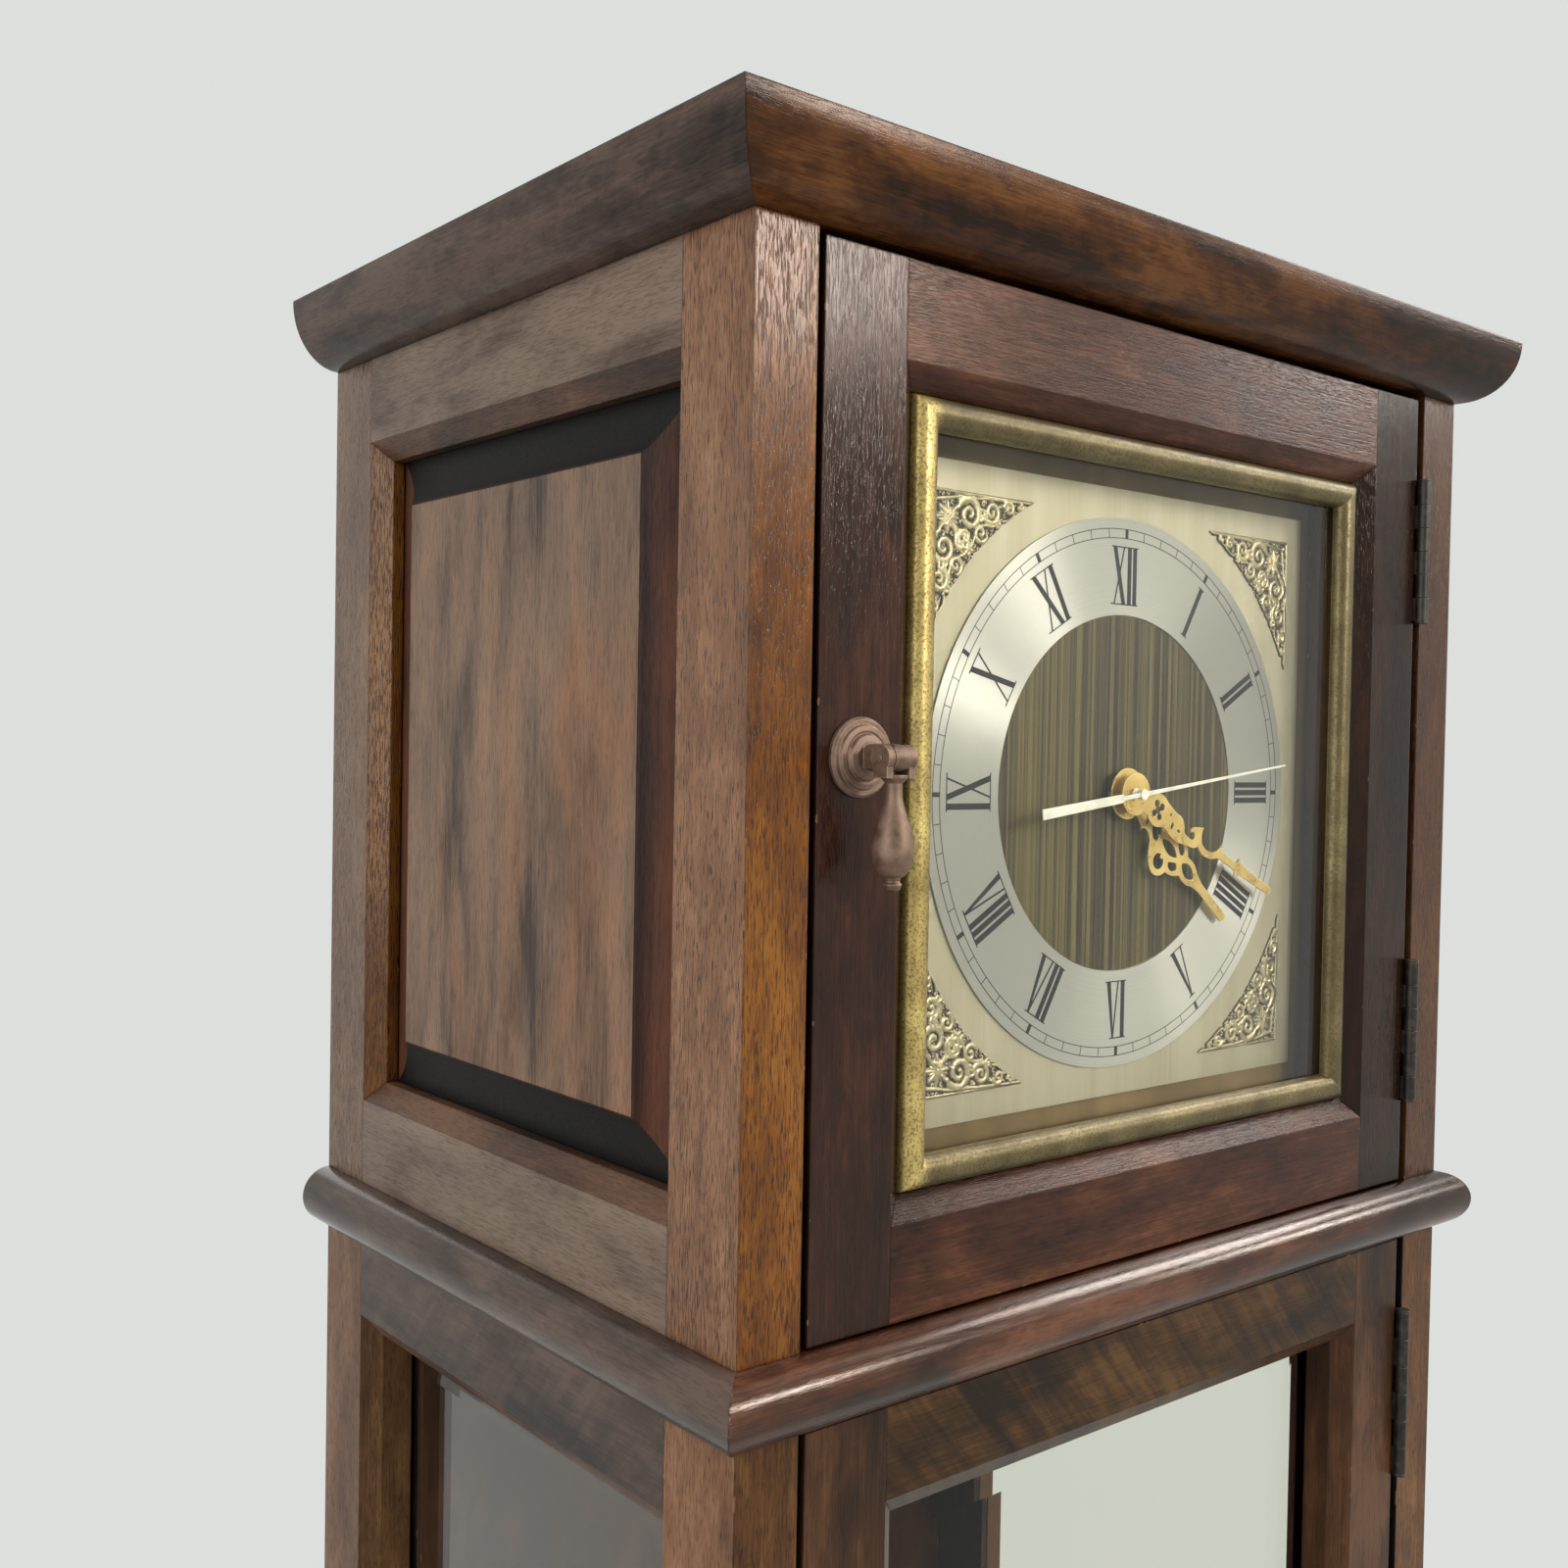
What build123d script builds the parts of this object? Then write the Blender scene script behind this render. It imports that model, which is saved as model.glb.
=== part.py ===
from build123d import *
from math import atan2, cos, degrees, hypot, pi, radians, sin, sqrt
import os

os.makedirs("parts", exist_ok=True)

# Overall sizes in millimetres. X is the width, -Y the front, Z up from the floor.
case_width = 420.0
case_depth = 310.0
hood_height = 365.0
trunk_height = 1020.0
plinth_height = 262.0

# Plinth, cornice, bullnose mouldings and skirting
plinth_board_thickness = 18.0
cornice_height = 28.5
cornice_overhang = 21.5
bullnose_height = 24.9
skirting_height = 46.0
skirting_overhang = 12.0
moulding_landing = 40.0
top_board_thickness = 18.0

# Side frames of the hood and the trunk
frame_thickness = 26.0
front_post_width = 38.6
back_stile_width = 36.0
hood_side_top_rail_width = 36.7
hood_side_bottom_rail_width = 36.9
trunk_side_top_rail_width = 34.4
trunk_side_bottom_rail_width = 58.0
chamfer_width = 8.5
chamfer_depth = 7.0
frame_reveal_depth = 12.3

# Raised side panels
panel_field_depth = 5.1
panel_bevel_width = 21.8
panel_tongue_thickness = 6.0
panel_tongue_length = 8.0
panel_play = 0.5

# Doors
door_thickness = 24.0
door_opening_width = 289.2
latch_gap = 3.0
hinge_gap = 5.5
door_top_gap = 3.0
door_bottom_gap = 1.2
hood_door_top_rail_width = 34.0
hood_door_bottom_rail_width = 33.5
trunk_door_top_gap = 2.2
trunk_door_bottom_gap = 2.2
trunk_door_top_rail_width = 32.2
trunk_door_bottom_rail_width = 56.0

# Glass and what holds it
dial_glass_depth = 8.4
dial_glass_thickness = 2.0
dial_glass_ledge = 6.5
dial_glass_play = 0.4
gilt_frame_width = 11.5
gilt_frame_height = 6.4
gilt_frame_flat = 1.2
gilt_frame_play = 0.3
plate_glass_thickness = 5.0
plate_glass_rebate = 8.0
plate_glass_play = 0.6
plate_glass_bevel_width = 17.0
plate_glass_bevel_depth = 2.2
glass_strip_width = 14.0
glass_strip_thickness = 4.0
glass_strip_inset = 2.0

# Back covers
cover_thickness = 5.0
cover_rebate_width = 9.0
cover_rebate_depth = 6.0
cover_play = 0.6
cover_screw_radius = 1.6
cover_screw_head_radius = 3.5
cover_screw_head_height = 1.0
cover_screw_slot_width = 0.8
cover_screw_point_distance = 1.0
cover_screw_length = 14.0
cover_screw_end_distance = 40.0
screw_clearance = 0.1

# Butt hinges
hinge_knuckle_radius = 3.0
hinge_pin_radius = 1.25
hinge_bore_clearance = 0.05
hinge_knuckle_count = 6
hinge_knuckle_gap = 0.25
hinge_leaf_thickness = 1.4
hinge_leaf_reach = 17.0
hinge_axis_forward = 2.4
hinge_notch_clearance = 0.6
hinge_pin_cap = 1.0
hood_hinge_length = 64.0
trunk_hinge_length = 76.0
hood_hinge_inset = 37.5
trunk_hinge_inset = 34.0

# Drop pulls
pull_rosette_radius = 13.4
pull_rosette_height = 5.6
pull_post_radius = 4.6
pull_axis_reach = 17.0
pull_pin_radius = 1.1
pull_pin_clearance = 0.08
pull_post_width = 6.4
pull_ear_thickness = 2.7
pull_ear_radius = 4.4
pull_ear_gap = 0.35
pull_pin_end = 0.4
pull_drop_length = 43.4
pull_drop_radius = 7.0
pull_finial_radius = 3.2
pull_finial_height = 4.8
pull_above_dial = 13.4
trunk_pull_share = 0.5

# Magnetic catches
catch_width = 16.0
catch_depth = 9.0
catch_length = 44.0
catch_gap = 0.4
strike_thickness = 1.0
strike_length = 34.0
strike_width = 12.0
strike_inset = 1.0
hood_catch_height = 182.0

# Dial
dial_centre_height = 180.8
dial_board_front = 25.7
dial_board_thickness = 9.0
dial_board_width = 318.0
dial_plate_margin = 22.1
dial_plate_thickness = 1.2
chapter_ring_margin = 11.7
chapter_ring_width = 38.8
chapter_ring_thickness = 0.9
centre_disc_play = 0.3
centre_disc_thickness = 0.5
spandrel_margin = 11.0
spandrel_ring_gap = 13.5
spandrel_thickness = 1.3

# Hands, seen from the front, at the time that the dial shows at rest
shown_hour = 4
shown_minute = 19.15
shown_second = 13.8
hour_hand_front = 20.0
minute_hand_front = 15.9
second_hand_front = 12.0
hand_thickness = 0.7
hour_hand_length = 85.4
minute_hand_length = 103.0
hour_shaft_half_width = 2.0
minute_shaft_half_width = 1.65
hand_collar_wall = 1.3
hand_collar_height = 1.8
second_hand_length = 97.2
second_hand_tail = 59.9
hour_boss_radius = 10.3
minute_boss_radius = 8.6
second_boss_radius = 2.2
second_boss_rise = 0.4
second_boss_depth = 1.6
second_arbor_set = 0.2
second_hand_thickness = 0.42
second_hand_root_half_width = 0.85
second_hand_point_half_width = 0.35
counterweight_distance = 12.0
counterweight_half_width = 2.0

# Arbors and pipes of the movement
seconds_arbor_radius = 0.8
minute_pipe_radius = 2.3
hour_pipe_radius = 3.3
fixing_bush_radius = 4.6
pipe_clearance = 0.08
thin_arbor_radius = 0.6
stud_radius = 1.0
collar_radius = 1.05
wide_collar_radius = 1.9
bearing_boss_radius = 1.6
bearing_boss_height = 0.6
bearing_depth = 0.3
end_play = 0.2
outer_gap = 0.6

# Wheels: teeth, tooth module and distance between arbors
motion_distance = 12.0
train_distance = 13.6
cannon_teeth = 12
motion_teeth = 36
motion_pinion_teeth = 10
hour_teeth = 40
knob_teeth = 12
third_teeth = 64
seconds_pinion_teeth = 8
centre_teeth = 60
third_pinion_teeth = 8
seconds_teeth = 60
rotor_pinion_teeth = 8
wheel_thickness = 1.5
layer_gap = 0.9
third_arbor_angle = 200.0
rotor_angle = 60.0
knob_angle = -30.0

# Movement case and what is in it
movement_width = 96.0
movement_wall = 2.0
movement_top_height = 46.0
movement_train_bottom = -30.0
movement_inner_depth = 20.0
lid_thickness = 1.8
battery_radius = 13.1
battery_length = 49.0
battery_button_radius = 3.0
battery_button_length = 1.5
battery_play = 0.4
contact_thickness = 0.5
contact_width = 16.0
rotor_radius = 6.4
rotor_thickness = 4.0
coil_radius = 4.3
coil_height = 30.0
pole_thickness = 1.6
pole_gap = 0.7
pole_foot_height = 4.0
coil_end_gap = 0.8
core_radius = 1.7
board_length = 40.0
board_width = 24.0
board_thickness = 1.2
fixing_nut_radius = 7.0
fixing_nut_thickness = 1.7
nut_groove_distance = 7.4
nut_groove_radius = 1.3
knob_radius = 7.0
knob_length = 7.0
knob_grooves = 18
knob_groove_radius = 0.7

# Levels of the case
trunk_bottom = plinth_height + bullnose_height
trunk_top = trunk_bottom + trunk_height
hood_bottom = trunk_top + bullnose_height
hood_top = hood_bottom + hood_height
case_top = hood_top + cornice_height

# The case stands with the middle of its whole depth, pulls included, on the Y axis
front_reach = max(cornice_overhang, pull_axis_reach + pull_drop_radius)
front_y = -(case_depth - front_reach) / 2
back_y = front_y + case_depth
half_width = case_width / 2
inner_half_width = half_width - frame_thickness

# Doors between the posts
door_left = -inner_half_width + latch_gap
door_right = inner_half_width - hinge_gap
hood_door_bottom = hood_bottom + door_bottom_gap
hood_door_top = hood_top - door_top_gap
trunk_door_bottom = trunk_bottom + trunk_door_bottom_gap
trunk_door_top = trunk_top - trunk_door_top_gap
left_door_stile = -door_opening_width / 2 - door_left
right_door_stile = door_right - door_opening_width / 2
hinge_axis_x = (door_right + inner_half_width) / 2
hinge_axis_y = front_y - hinge_axis_forward
pull_x = door_left + left_door_stile / 2
dial_z = hood_bottom + dial_centre_height


def block(x0, x1, y0, y1, z0, z1):
    centre = ((x0 + x1) / 2, (y0 + y1) / 2, (z0 + z1) / 2)
    return Pos(*centre) * Box(abs(x1 - x0), abs(y1 - y0), abs(z1 - z0))


def slab(points, y0, y1):
    outline = Polyline(*[(u, y0, v) for u, v in points], close=True)
    return extrude(make_face(outline), amount=y1 - y0, dir=(0, 1, 0))


def rod(x, z, radius, y0, y1):
    disc = Pos(x, y0, z) * Rot(-90, 0, 0) * Circle(radius)
    return extrude(disc, amount=y1 - y0, dir=(0, 1, 0))


def whole(shape):
    return shape.clean()


def rectangle_wall(left, right, bottom, top, y):
    points = [(left, y, bottom), (right, y, bottom), (right, y, top), (left, y, top)]
    return make_face(Polyline(*points, close=True))


# A frame of two full-height stiles and two rails, in its own plane from u, v = 0
def stile_outline(width, height, bottom, top, inset):
    joint = width
    reach = width + inset
    low = bottom + inset
    high = height - top - inset
    if inset > 0:
        return [(0, 0), (0, height), (joint, height), (joint, height - top), (reach, high),
                (reach, low), (joint, bottom), (joint, 0)]
    return [(0, 0), (0, height), (joint, height), (joint, high), (reach, high),
            (reach, low), (joint, low), (joint, 0)]


def rail_outline(left, right, outer, edge, inset):
    if edge < outer:
        inner = edge - inset
    else:
        inner = edge + inset
    if inset > 0:
        return [(left, outer), (right, outer), (right, edge), (right - inset, inner),
                (left + inset, inner), (left, edge)]
    return [(left, outer), (right, outer), (right, inner), (left, inner)]


def frame_members(width, height, left, right, bottom, top, layers):
    chamfer = loft([
        rectangle_wall(left, width - right, bottom, height - top, 0),
        rectangle_wall(left + chamfer_width, width - right - chamfer_width,
                       bottom + chamfer_width, height - top - chamfer_width, chamfer_depth),
    ], ruled=True)
    members = {"left": None, "right": None, "bottom": None, "top": None}
    for y0, y1, inset in layers:
        flipped = [(width - u, v) for u, v in stile_outline(right, height, bottom, top, inset)]
        outlines = {
            "left": stile_outline(left, height, bottom, top, inset),
            "right": flipped,
            "bottom": rail_outline(left, width - right, 0, bottom, inset),
            "top": rail_outline(left, width - right, height, height - top, inset),
        }
        for name, outline in outlines.items():
            piece = slab(outline, y0, y1)
            members[name] = piece if members[name] is None else members[name] + piece
    return {name: whole(member - chamfer) for name, member in members.items()}


# Side frames are laid out from the back edge, and then turned to face -X
def place_side(shape, bottom):
    return Pos(-half_width, back_y, bottom) * Rot(0, 0, -90) * shape


def side_frame(height, bottom_rail, top_rail, layers):
    return frame_members(case_depth, height, back_stile_width, front_post_width,
                         bottom_rail, top_rail, layers)


def cover_rebate(z0, z1):
    reach = inner_half_width + cover_rebate_width
    return block(-reach, reach, back_y - cover_rebate_depth, back_y + 1, z0, z1)


def screw_heights(z0, z1):
    low = z0 + cover_screw_end_distance
    high = z1 - cover_screw_end_distance
    return [low, (low + high) / 2, high]


def screw_places(z0, z1):
    x = inner_half_width + cover_rebate_width / 2
    return [(side * x, z) for side in (-1, 1) for z in screw_heights(z0, z1)]


def both_sides(solids):
    return list(solids) + [mirror(solid, Plane.YZ) for solid in solids]


def make_hood_sides():
    groove_end = frame_reveal_depth + panel_tongue_thickness + 2 * panel_play
    layers = [
        (0, frame_reveal_depth, chamfer_width),
        (frame_reveal_depth, groove_end, chamfer_width - panel_tongue_length),
        (groove_end, frame_thickness, chamfer_width),
    ]
    members = side_frame(hood_height, hood_side_bottom_rail_width, hood_side_top_rail_width, layers)
    rebate = cover_rebate(hood_bottom, hood_top)
    holes = [rod(x, z, cover_screw_radius + screw_clearance, back_y - cover_screw_length, back_y)
             for x, z in screw_places(hood_bottom, hood_top)]
    back_stile = place_side(members["left"], hood_bottom) - rebate - holes
    stiles = [back_stile, place_side(members["right"], hood_bottom)]
    rails = [place_side(members[name], hood_bottom) for name in ("bottom", "top")]
    return both_sides(stiles), both_sides(rails)


def make_side_panel():
    reach = chamfer_width
    left = back_stile_width + reach
    right = case_depth - front_post_width - reach
    low = hood_side_bottom_rail_width + reach
    high = hood_height - hood_side_top_rail_width - reach
    rise = frame_reveal_depth + panel_play - panel_field_depth
    radius = (panel_bevel_width ** 2 + rise ** 2) / (2 * rise)
    axis_depth = frame_reveal_depth + panel_play - radius
    back = frame_reveal_depth + panel_play + panel_tongue_thickness
    tongue = panel_tongue_length - panel_play
    panel = block(left, right, panel_field_depth, back, low, high)
    for z in (low, high):
        cove = Pos((left + right) / 2, axis_depth, z) * Rot(0, 90, 0)
        panel -= cove * Cylinder(radius, right - left + 2 * panel_bevel_width)
    for u in (left, right):
        cove = Pos(u, axis_depth, (low + high) / 2)
        panel -= cove * Cylinder(radius, high - low + 2 * panel_bevel_width)
    panel += block(left - tongue, right + tongue, frame_reveal_depth + panel_play, back,
                   low - tongue, high + tongue)
    return place_side(whole(panel), hood_bottom)


def glazed_layers(glass_front, thickness):
    return [
        (0, glass_front, chamfer_width),
        (glass_front, thickness, chamfer_width - plate_glass_rebate),
    ]


def make_trunk_sides():
    glass_front = frame_thickness - plate_glass_thickness
    layers = glazed_layers(glass_front, frame_thickness)
    members = side_frame(trunk_height, trunk_side_bottom_rail_width, trunk_side_top_rail_width, layers)
    rebate = cover_rebate(trunk_bottom, trunk_top)
    back_stile = place_side(members["left"], trunk_bottom) - rebate
    stiles = [back_stile, place_side(members["right"], trunk_bottom)]
    rails = [place_side(members[name], trunk_bottom) for name in ("bottom", "top")]
    return both_sides(stiles), both_sides(rails)


# A plate of glass with a wide ground bevel round its front face
def bevelled_glass(left, right, low, high, front):
    grow = plate_glass_rebate - plate_glass_play
    x0 = left - grow
    x1 = right + grow
    z0 = low - grow
    z1 = high + grow
    edge = front + plate_glass_bevel_depth
    back = front + plate_glass_thickness
    flat = plate_glass_bevel_width + grow
    plate = block(x0, x1, edge, back, z0, z1)
    top = loft([
        rectangle_wall(x0, x1, z0, z1, edge),
        rectangle_wall(x0 + flat, x1 - flat, z0 + flat, z1 - flat, front),
    ], ruled=True)
    return whole(plate + top)


def glass_strips(left, right, low, high, front):
    outer = glass_strip_width - glass_strip_inset
    x0 = left - outer
    x1 = right + outer
    z0 = low - outer
    z1 = high + outer
    w = glass_strip_width
    back = front + glass_strip_thickness
    bottom = slab([(x0, z0), (x1, z0), (x1 - w, z0 + w), (x0 + w, z0 + w)], front, back)
    top = slab([(x0, z1), (x1, z1), (x1 - w, z1 - w), (x0 + w, z1 - w)], front, back)
    start = slab([(x0, z0), (x0 + w, z0 + w), (x0 + w, z1 - w), (x0, z1)], front, back)
    end = slab([(x1, z0), (x1 - w, z0 + w), (x1 - w, z1 - w), (x1, z1)], front, back)
    return [bottom, top, start, end]


def side_glass_opening():
    return (back_stile_width + chamfer_width, case_depth - front_post_width - chamfer_width,
            trunk_side_bottom_rail_width + chamfer_width,
            trunk_height - trunk_side_top_rail_width - chamfer_width)


def make_side_glass():
    front = frame_thickness - plate_glass_thickness
    glass = bevelled_glass(*side_glass_opening(), front)
    return both_sides([place_side(glass, trunk_bottom)])


def make_side_strips():
    strips = glass_strips(*side_glass_opening(), frame_thickness)
    return both_sides([place_side(strip, trunk_bottom) for strip in strips])


def make_cover(z0, z1, play):
    reach = inner_half_width + cover_rebate_width - cover_play
    back = back_y - (cover_rebate_depth - cover_thickness)
    return block(-reach, reach, back - cover_thickness, back, z0 + play, z1 - play)


def make_hood_cover():
    cover = make_cover(hood_bottom, hood_top, cover_play)
    for x, z in screw_places(hood_bottom, hood_top):
        cover -= rod(x, z, cover_screw_radius + screw_clearance, back_y - cover_screw_length, back_y)
    return cover


def make_cover_screws():
    cover_back = back_y - (cover_rebate_depth - cover_thickness)
    screws = []
    for x, z in screw_places(hood_bottom, hood_top):
        shank = rod(x, z, cover_screw_radius, back_y - cover_screw_length + cover_screw_point_distance,
                    cover_back)
        head = rod(x, z, cover_screw_head_radius, cover_back, cover_back + cover_screw_head_height)
        slot = block(x - cover_screw_head_radius, x + cover_screw_head_radius,
                     cover_back + cover_screw_head_height / 2,
                     cover_back + cover_screw_head_height + 1, z - cover_screw_slot_width / 2,
                     z + cover_screw_slot_width / 2)
        screws.append(shank + head - slot)
    return screws


# Moulding round the front and the two sides, mitred at the front corners
def moulding_profile(kind, z0, z1, overhang):
    landing = Vector(0, moulding_landing, z0)
    landing_top = Vector(0, moulding_landing, z1)
    foot = Vector(0, 0, z0)
    top = Vector(0, 0, z1)
    if kind == "bullnose":
        curve = ThreePointArc(foot, Vector(0, -overhang, (z0 + z1) / 2), top)
        lines = curve + Polyline(top, landing_top, landing, foot)
    if kind == "ovolo":
        outward = Plane((0, 0, z1), x_dir=(0, -1, 0), z_dir=(1, 0, 0))
        curve = outward * EllipticalCenterArc((0, 0), overhang, z1 - z0, start_angle=0, arc_size=90)
        lines = curve + Polyline(foot, landing, landing_top, Vector(0, -overhang, z1))
    if kind == "skirting":
        shoulder = Vector(0, -overhang, z1 - overhang)
        middle = Vector(0, -overhang * cos(pi / 4), z1 - overhang + overhang * sin(pi / 4))
        curve = ThreePointArc(shoulder, middle, top)
        lines = curve + Polyline(top, landing_top, landing, Vector(0, -overhang, z0), shoulder)
    return make_face(lines)


def make_moulding(kind, z0, z1, overhang, inward=moulding_landing):
    profile = moulding_profile(kind, z0, z1, overhang)
    half_run = half_width + case_depth
    bar = extrude(profile, amount=half_run, dir=(1, 0, 0)) + extrude(
        profile, amount=half_run, dir=(-1, 0, 0))
    front = Pos(0, front_y, 0) * bar
    side = Pos(-half_width, front_y, 0) * Rot(0, 0, -90) * bar
    out = half_width + overhang
    inner = half_width - inward
    front_out = front_y - overhang
    front_in = front_y + inward
    front_plan = [(-out, front_out), (out, front_out), (inner, front_in), (-inner, front_in)]
    side_plan = [(-out, front_out), (-inner, front_in), (-inner, back_y), (-out, back_y)]
    height = z1 - z0

    def plan(points):
        outline = Polyline(*[(x, y, z0) for x, y in points], close=True)
        return extrude(make_face(outline), amount=height, dir=(0, 0, 1))

    left = side & plan(side_plan)
    return [front & plan(front_plan), left, mirror(left, Plane.YZ)]


def make_inner_board(z0, z1):
    inner = half_width - moulding_landing
    return block(-inner, inner, front_y + moulding_landing, back_y, z0, z1)


def make_plinth():
    board = plinth_board_thickness
    front = block(-half_width, half_width, front_y, front_y + board, 0, plinth_height)
    back = block(-half_width + board, half_width - board, back_y - board, back_y, 0, plinth_height)
    left = block(-half_width, -half_width + board, front_y + board, back_y, 0, plinth_height)
    return [front, back, left, mirror(left, Plane.YZ)]


def door_frame(z0, z1, bottom_rail, top_rail, layers):
    members = frame_members(door_right - door_left, z1 - z0, left_door_stile, right_door_stile,
                            bottom_rail, top_rail, layers)
    return {name: Pos(door_left, front_y, z0) * solid for name, solid in members.items()}


def make_hood_door():
    glass_back = dial_glass_depth + dial_glass_thickness
    layers = [
        (0, glass_back, chamfer_width),
        (glass_back, door_thickness, chamfer_width + dial_glass_ledge),
    ]
    return door_frame(hood_door_bottom, hood_door_top, hood_door_bottom_rail_width,
                      hood_door_top_rail_width, layers)


def dial_opening():
    half = door_opening_width / 2 - chamfer_width
    low = hood_door_bottom + hood_door_bottom_rail_width + chamfer_width
    high = hood_door_top - hood_door_top_rail_width - chamfer_width
    return -half, half, low, high


def make_dial_glass():
    left, right, low, high = dial_opening()
    play = dial_glass_play
    front = front_y + dial_glass_depth
    return block(left + play, right - play, front, front + dial_glass_thickness,
                 low + play, high - play)


# Half-round gilt frame in front of the glass, mitred at its corners
def make_gilt_frame():
    left, right, low, high = dial_opening()
    play = gilt_frame_play
    x0 = left + play
    x1 = right - play
    z0 = low + play
    z1 = high - play
    w = gilt_frame_width
    base = front_y + dial_glass_depth
    flat = base - gilt_frame_flat
    crown = base - gilt_frame_height

    def bar(length):
        points = [Vector(0, flat, 0), Vector(0, base, 0), Vector(w, base, 0), Vector(w, flat, 0)]
        round_top = Pos(w / 2, flat, 0) * EllipticalCenterArc(
            (0, 0), w / 2, flat - crown, start_angle=180, arc_size=180)
        outline = make_face(Polyline(*points) + round_top)
        return extrude(outline, amount=length, dir=(0, 0, 1))

    upright = Pos(x0, 0, z0) * bar(z1 - z0)
    # Laid down, the bar's width runs along +Z and its length along +X.
    swap = Plane((0, 0, 0), x_dir=(1, 0, 1), z_dir=(1, 0, -1))
    level = Pos(x0, 0, z0) * mirror(bar(x1 - x0), swap)
    keep = {
        "left": [(x0, z0), (x0 + w, z0 + w), (x0 + w, z1 - w), (x0, z1)],
        "bottom": [(x0, z0), (x1, z0), (x1 - w, z0 + w), (x0 + w, z0 + w)],
    }
    left_bar = upright & slab(keep["left"], crown - 1, base)
    bottom_bar = level & slab(keep["bottom"], crown - 1, base)
    middle_z = (z0 + z1) / 2
    return [left_bar, mirror(left_bar, Plane.YZ), bottom_bar,
            mirror(bottom_bar, Plane.XY.offset(middle_z))]


def make_trunk_door():
    layers = glazed_layers(door_thickness - plate_glass_thickness, door_thickness)
    return door_frame(trunk_door_bottom, trunk_door_top, trunk_door_bottom_rail_width,
                      trunk_door_top_rail_width, layers)


def trunk_glass_opening():
    half = door_opening_width / 2 - chamfer_width
    low = trunk_door_bottom + trunk_door_bottom_rail_width + chamfer_width
    high = trunk_door_top - trunk_door_top_rail_width - chamfer_width
    return -half, half, low, high


# Butt hinge: knuckles are shared in turn between the door leaf and the case leaf
def hinge_leaf(bottom, length, side):
    pitch = length / hinge_knuckle_count
    bore = hinge_pin_radius + hinge_bore_clearance
    face = door_right if side == "door" else inner_half_width
    inward = 1 if side == "door" else -1
    x0 = face
    x1 = face + inward * hinge_leaf_thickness
    clear = hinge_axis_y + hinge_knuckle_radius + hinge_notch_clearance
    leaf = block(x0, x1, clear, clear + hinge_leaf_reach, bottom, bottom + length)
    first = 0 if side == "door" else 1
    for index in range(first, hinge_knuckle_count, 2):
        z0 = bottom + index * pitch + hinge_knuckle_gap / 2
        z1 = bottom + (index + 1) * pitch - hinge_knuckle_gap / 2
        leaf += block(x0, x1, hinge_axis_y, clear, z0, z1)
        height = z1 - z0
        knuckle = Cylinder(hinge_knuckle_radius, height) - Cylinder(bore, height)
        leaf += Pos(hinge_axis_x, hinge_axis_y, (z0 + z1) / 2) * knuckle
        leaf -= Pos(hinge_axis_x, hinge_axis_y, (z0 + z1) / 2) * Cylinder(bore, height)
    return whole(leaf)


def hinge_places():
    hood = [hood_door_bottom + hood_hinge_inset, hood_door_top - hood_hinge_inset - hood_hinge_length]
    trunk = [trunk_door_bottom + trunk_hinge_inset,
             (trunk_door_bottom + trunk_door_top - trunk_hinge_length) / 2,
             trunk_door_top - trunk_hinge_inset - trunk_hinge_length]
    return [(z, hood_hinge_length) for z in hood], [(z, trunk_hinge_length) for z in trunk]


def hinge_pin(bottom, length):
    pin = Pos(hinge_axis_x, hinge_axis_y, bottom + length / 2) * Cylinder(hinge_pin_radius, length)
    for z in (bottom - hinge_pin_cap / 2, bottom + length + hinge_pin_cap / 2):
        pin += Pos(hinge_axis_x, hinge_axis_y, z) * Cylinder(hinge_knuckle_radius, hinge_pin_cap)
    return pin


# Rosette with stepped rings, its post and the pin that the drop hangs on
def make_rosette(z):
    r = pull_rosette_radius
    h = pull_rosette_height
    steps = [(0, 0), (r, 0), (r, 0.22 * h), (0.93 * r, 0.4 * h), (0.82 * r, 0.4 * h),
             (0.78 * r, 0.62 * h), (0.66 * r, 0.66 * h), (0.6 * r, 0.6 * h),
             (0.55 * r, 0.88 * h), (0.4 * r, h), (0, h)]
    outline = make_face(Polyline(*[(radius, -out, 0) for radius, out in steps], close=True))
    rosette = revolve(outline, Axis.Y)
    tip = pull_axis_reach + pull_post_radius
    half = pull_post_width / 2
    post = Pos(0, -tip / 2, 0) * Rot(90, 0, 0) * Cylinder(pull_post_radius, tip)
    post &= block(-half, half, -tip, 0, -pull_post_radius, pull_post_radius)
    rounded = block(-half, half, -pull_axis_reach, 0, -pull_post_radius, pull_post_radius)
    rounded += Pos(0, -pull_axis_reach, 0) * Rot(0, 90, 0) * Cylinder(pull_post_radius, 2 * half)
    post &= rounded
    reach = half + pull_ear_gap + pull_ear_thickness + pull_pin_end
    pin = Pos(0, -pull_axis_reach, 0) * Rot(0, 90, 0) * Cylinder(pull_pin_radius, 2 * reach)
    return Pos(pull_x, front_y, z) * whole(rosette + post + pin)


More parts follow.
